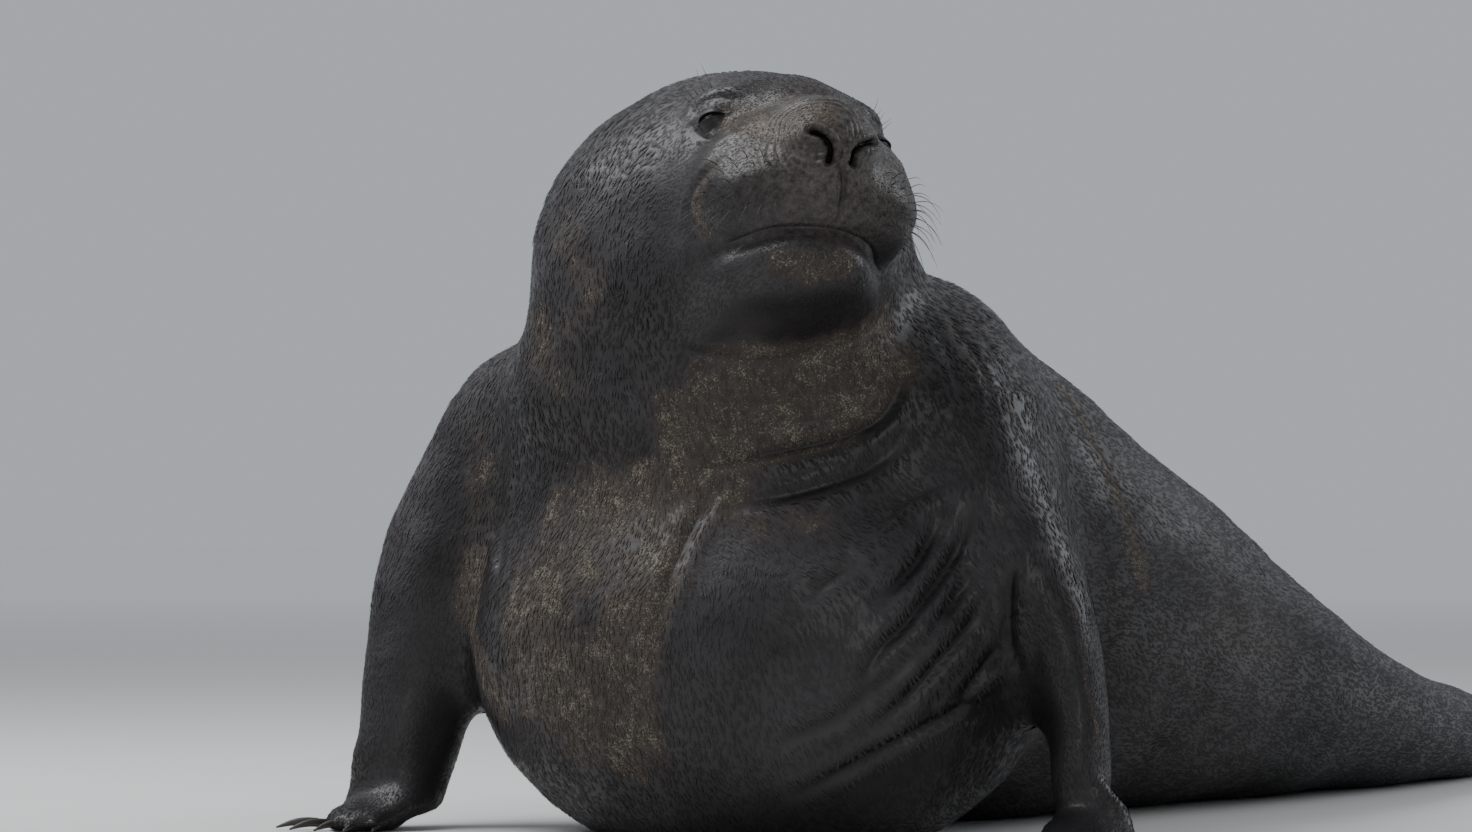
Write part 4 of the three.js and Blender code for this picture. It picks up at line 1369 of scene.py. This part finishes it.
def node_of(tree, kind, settings=None, **inputs):
    """A node with its properties set, and each input a value or another node's output."""
    node = tree.nodes.new(kind)
    for key, value in (settings or {}).items():
        setattr(node, key, value)
    for key, value in inputs.items():
        socket = node.inputs[int(key[1:])] if key[0] == "_" else node.inputs[key.replace("_", " ")]
        if isinstance(value, bpy.types.NodeSocket):
            tree.links.new(value, socket)
        else:
            socket.default_value = value
    return node


def math_of(tree, operation, a, b, clamp=False):
    """One step of arithmetic on two values or outputs."""
    settings = {"operation": operation, "use_clamp": clamp}
    return node_of(tree, "ShaderNodeMath", settings, _0=a, _1=b).outputs[0]


def sum_of(tree, a, b):
    """a plus b."""
    return math_of(tree, "ADD", a, b)


def difference_of(tree, a, b):
    """a less b."""
    return math_of(tree, "SUBTRACT", a, b)


def product_of(tree, a, b):
    """a times b."""
    return math_of(tree, "MULTIPLY", a, b)


def ramp_of(tree, value, low, high):
    """0 below low, 1 above high, smooth between."""
    return node_of(
        tree, "ShaderNodeMapRange", {"interpolation_type": "SMOOTHSTEP"},
        Value=value, From_Min=low, From_Max=high,
    ).outputs[0]


def mixed(tree, share, a, b):
    """Colour a where share is 0 and colour b where it is 1."""
    node = tree.nodes.new("ShaderNodeMix")
    node.data_type = "RGBA"
    for socket, value in ((node.inputs[0], share), (node.inputs[6], a), (node.inputs[7], b)):
        if isinstance(value, bpy.types.NodeSocket):
            tree.links.new(value, socket)
        else:
            socket.default_value = value
    return node.outputs[2]


def noise_of(tree, place, scale, detail=4.0, rough=0.55):
    """Noise with this many features to the metre."""
    return node_of(
        tree, "ShaderNodeTexNoise", None, Vector=place, Scale=scale, Detail=detail, Roughness=rough
    ).outputs[0]


# %% The hide's material
WET = (0.014, 0.012, 0.013, 1)
WET_PALE = (0.036, 0.032, 0.034, 1)
MUZZLE_TONE = (0.105, 0.088, 0.074, 1)
SAND_WET = (0.060, 0.048, 0.040, 1)
SAND_DRY = (0.230, 0.200, 0.150, 1)
RUMP = (0.030, 0.034, 0.040, 1)
# Near black used as painted shade in creases and round the eyes.
CREASE_SHADE = (0.004, 0.0035, 0.004, 1)
EYE_DARK, EYE_PALE = (0.004, 0.003, 0.003, 1), (0.016, 0.010, 0.007, 1)
CLAW_DARK, CLAW_PALE = (0.010, 0.009, 0.008, 1), (0.050, 0.042, 0.034, 1)
WHISKER_DARK, WHISKER_PALE = (0.012, 0.010, 0.009, 1), (0.060, 0.050, 0.040, 1)
MUZZLE_MIDDLE, MUZZLE_FADE = [0, 0.12, -0.12], (0.24, 0.12)
RUMP_STARTS = (-0.6, 1.2)
SPECK_THRESHOLD = 0.645
STRAND_STRETCH = (1.0, 0.35, 0.45)
HAIR_ROUGH, HIDE_ROUGH = 0.50, 0.36


def bare_tone(tree, place, broad, middle, fine):
    """The hide's own colour: dark and paler patches, a bluish rump and a paler muzzle."""
    tone = mixed(tree, ramp_of(tree, broad, 0.35, 0.72), WET, WET_PALE)
    y = node_of(tree, "ShaderNodeSeparateXYZ", None, _0=place).outputs[1]
    behind = product_of(tree, ramp_of(tree, y, *RUMP_STARTS), ramp_of(tree, middle, 0.3, 0.7))
    tone = mixed(tree, behind, tone, RUMP)
    centre = tuple(from_head(MUZZLE_MIDDLE) + ORIGIN)
    away = node_of(
        tree, "ShaderNodeVectorMath", {"operation": "DISTANCE"}, _0=place, _1=centre
    ).outputs[1]
    on_muzzle = product_of(
        tree, ramp_of(tree, away, *MUZZLE_FADE), ramp_of(tree, fine, 0.35, 0.65)
    )
    return mixed(tree, product_of(tree, on_muzzle, 0.8), tone, MUZZLE_TONE)


def sand_and_highlight_film(tree, middle):
    """Where a film of wet sand lies, with a ragged edge; it also paints the highlight along the left fore
    flipper's edge.
    """
    sand = node_of(tree, "ShaderNodeAttribute", {"attribute_name": "sand"}).outputs["Fac"]
    ragged = sum_of(tree, sand, product_of(tree, difference_of(tree, middle, 0.5), 1.1))
    return ramp_of(tree, ragged, 0.30, 0.95)


def sand_specks(tree, film, middle, fine, grain):
    """Single grains of dry sand, thicker where the film lies."""
    field = sum_of(tree, product_of(tree, fine, 0.3), product_of(tree, grain, 0.7))
    clumped = product_of(tree, film, ramp_of(tree, middle, 0.30, 0.70))
    spread = sum_of(tree, product_of(tree, clumped, 0.10), product_of(tree, film, 0.06))
    over = difference_of(tree, field, difference_of(tree, SPECK_THRESHOLD, spread))
    return ramp_of(tree, over, 0.0, 0.09)


def hide_bump(tree, place, fine, specks):
    """The smallest relief: strands, leathery creases and grains."""
    stretched = node_of(
        tree, "ShaderNodeMapping", None, Vector=place, Scale=STRAND_STRETCH
    ).outputs[0]
    strands = noise_of(tree, stretched, 260.0, 3.0, 0.6)
    leather = node_of(
        tree, "ShaderNodeTexVoronoi", {"feature": "DISTANCE_TO_EDGE"},
        Vector=place, Scale=55.0, Randomness=1.0,
    ).outputs[0]
    height = sum_of(tree, product_of(tree, strands, 0.5), product_of(tree, fine, 0.5))
    height = sum_of(tree, height, product_of(tree, ramp_of(tree, leather, 0.0, 0.12), 0.35))
    height = sum_of(tree, height, product_of(tree, specks, 0.4))
    return node_of(tree, "ShaderNodeBump", None, Height=height, Strength=0.40, Distance=0.0020)


def hide_material(name, hair):
    """Wet hide with sand on it, painted shade in its creases and round the eyes, and a painted highlight on
    a flipper's edge; hair is drier and a little paler at its tips.
    """
    made, tree, shader = material_of(
        name, Specular_IOR_Level=0.24, Coat_Weight=0.05 if hair else 0.2, Coat_Roughness=0.22
    )
    place = node_of(tree, "ShaderNodeTexCoord").outputs["Object"]
    broad = noise_of(tree, place, 3.2, 3.0)
    middle = noise_of(tree, place, 17.0, 5.0, 0.65)
    fine = noise_of(tree, place, 70.0, 6.0, 0.7)
    grain = noise_of(tree, place, 300.0, 2.0, 0.7)

    film = sand_and_highlight_film(tree, middle)
    specks = sand_specks(tree, film, middle, fine, grain)
    tone = bare_tone(tree, place, broad, middle, fine)
    # Sand, and the painted highlight along the left fore flipper's edge, as a paler film.
    tone = mixed(tree, product_of(tree, film, 0.75), tone, SAND_WET)
    tone = mixed(tree, product_of(tree, specks, 0.8), tone, SAND_DRY)
    if hair:
        tips = mixed(tree, film, WET_PALE, SAND_WET)
        tone = mixed(tree, ramp_of(tree, grain, 0.55, 0.75), tone, tips)
    else:
        # Painted shade: creases and the hide round the eyes are mixed toward near black.
        dark = node_of(tree, "ShaderNodeAttribute", {"attribute_name": "hollow"}).outputs["Fac"]
        tone = mixed(tree, dark, tone, CREASE_SHADE)
    tree.links.new(tone, shader.inputs["Base Color"])

    dull = product_of(tree, math_of(tree, "MAXIMUM", film, specks), 0.38)
    gloss = sum_of(tree, dull, product_of(tree, ramp_of(tree, middle, 0.2, 0.8), 0.20))
    rough = math_of(tree, "ADD", gloss, HAIR_ROUGH if hair else HIDE_ROUGH, clamp=True)
    tree.links.new(rough, shader.inputs["Roughness"])
    bump = hide_bump(tree, place, fine, specks)
    tree.links.new(bump.outputs[0], shader.inputs["Normal"])
    return made


def plain_material(name, scale, dark, pale, **settings):
    """A material whose colour wanders between a dark and a pale tone."""
    made, tree, shader = material_of(name, **settings)
    place = node_of(tree, "ShaderNodeTexCoord").outputs["Object"]
    tone = mixed(tree, noise_of(tree, place, scale), dark, pale)
    tree.links.new(tone, shader.inputs["Base Color"])
    return made


# %% [markdown]
# ## A material for every piece
#
# Hide and hair share the same places, so that a blade has the colour of the skin it grows
# from. Eyes are almost black and glossy; claws and whiskers are dark horn.

# %% Give every piece its material
hide = hide_material("wet_hide", False)
finishes = {
    "coat": hide_material("wet_hair", True),
    "eyeball": plain_material(
        "wet_eye", 60.0, EYE_DARK, EYE_PALE,
        Roughness=0.12, Specular_IOR_Level=0.06, Coat_Weight=0.05, Coat_Roughness=0.03,
    ),
    "claws": plain_material("claw_horn", 90.0, CLAW_DARK, CLAW_PALE, Roughness=0.38),
    "whiskers": plain_material("whisker_horn", 40.0, WHISKER_DARK, WHISKER_PALE, Roughness=0.35),
}
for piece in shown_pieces():
    finish = finishes.get(piece.name.split("_")[0], hide)
    piece.data.materials.clear()
    piece.data.materials.append(finish)
    print(piece.name, "has", finish.name)

# %% [markdown]
# ## Studio
#
# The model stands on a wide pale floor under a pale grey sky. A broad soft lamp lights it from
# above and to the left of the camera, a weak one fills the front, and one behind on the right
# draws the outline of the back.

# %% Floor and light
FLOOR_REACH, FLOOR_SIDES = 60.0, 96
FLOOR_DARK, FLOOR_PALE, FLOOR_FAR = (0.60, 0.60, 0.59, 1), (0.64, 0.64, 0.63, 1), (0.97, 0.97, 0.97, 1)
FLOOR_FADE = (4.0, 26.0)
SUBJECT = Vector((0.0, -1.2, 0.8))
SKY_TONE, SKY_STRENGTH = (0.72, 0.76, 0.80, 1), 0.62
LAMPS = [
    ("sky_key", (-3.2, -3.2, 6.0), 5.0, 520, (0.97, 0.98, 1.0)),
    ("front_fill", (5.5, -7.5, 3.4), 4.0, 90, (1.0, 0.98, 0.95)),
    ("back_rim", (4.0, 4.5, 4.5), 4.5, 190, (0.93, 0.96, 1.0)),
]

bpy.ops.mesh.primitive_circle_add(vertices=FLOOR_SIDES, radius=FLOOR_REACH, fill_type="NGON")
floor = bpy.context.object
floor.name = "floor"
floor_made, floor_tree, floor_shader = material_of("pale_floor", Roughness=0.75)
floor_place = node_of(floor_tree, "ShaderNodeTexCoord").outputs["Object"]
floor_tone = mixed(floor_tree, noise_of(floor_tree, floor_place, 6.0), FLOOR_DARK, FLOOR_PALE)
from_middle = node_of(
    floor_tree, "ShaderNodeVectorMath", {"operation": "LENGTH"}, _0=floor_place
).outputs["Value"]
floor_tone = mixed(floor_tree, ramp_of(floor_tree, from_middle, *FLOOR_FADE), floor_tone, FLOOR_FAR)
floor_tree.links.new(floor_tone, floor_shader.inputs["Base Color"])
floor.data.materials.append(floor_made)


def soft_light(name, place, size, power, tint):
    """A square lamp that looks at the animal."""
    data = bpy.data.lights.new(name, "AREA")
    data.size = size
    data.energy = power
    data.color = tint
    lamp = bpy.data.objects.new(name, data)
    lamp.location = place
    lamp.rotation_euler = (SUBJECT - Vector(place)).to_track_quat("-Z", "Y").to_euler()
    bpy.context.scene.collection.objects.link(lamp)


for lamp_settings in LAMPS:
    soft_light(*lamp_settings)
world = bpy.data.worlds.new("pale_sky")
world.use_nodes = True
world.node_tree.nodes["Background"].inputs["Color"].default_value = SKY_TONE
world.node_tree.nodes["Background"].inputs["Strength"].default_value = SKY_STRENGTH
bpy.context.scene.world = world
print("floor", 2 * FLOOR_REACH, "m across,", len(LAMPS), "lamps")

# %% [markdown]
# ## Camera
#
# The camera stands where the picture seems to have been taken from, with the same long lens,
# so that the model can be laid over it.

# %% Camera
camera = bpy.data.objects.new("camera", bpy.data.cameras.new("camera"))
camera.data.sensor_width = SENSOR * 1000
camera.data.lens = FOCAL_PIXELS / VIEW_WIDTH * SENSOR * 1000
camera.data.clip_end = 200
camera.location = camera_place + ORIGIN
camera.rotation_euler = Vector(view_forward).to_track_quat("-Z", "Y").to_euler()
bpy.context.scene.collection.objects.link(camera)
bpy.context.scene.camera = camera
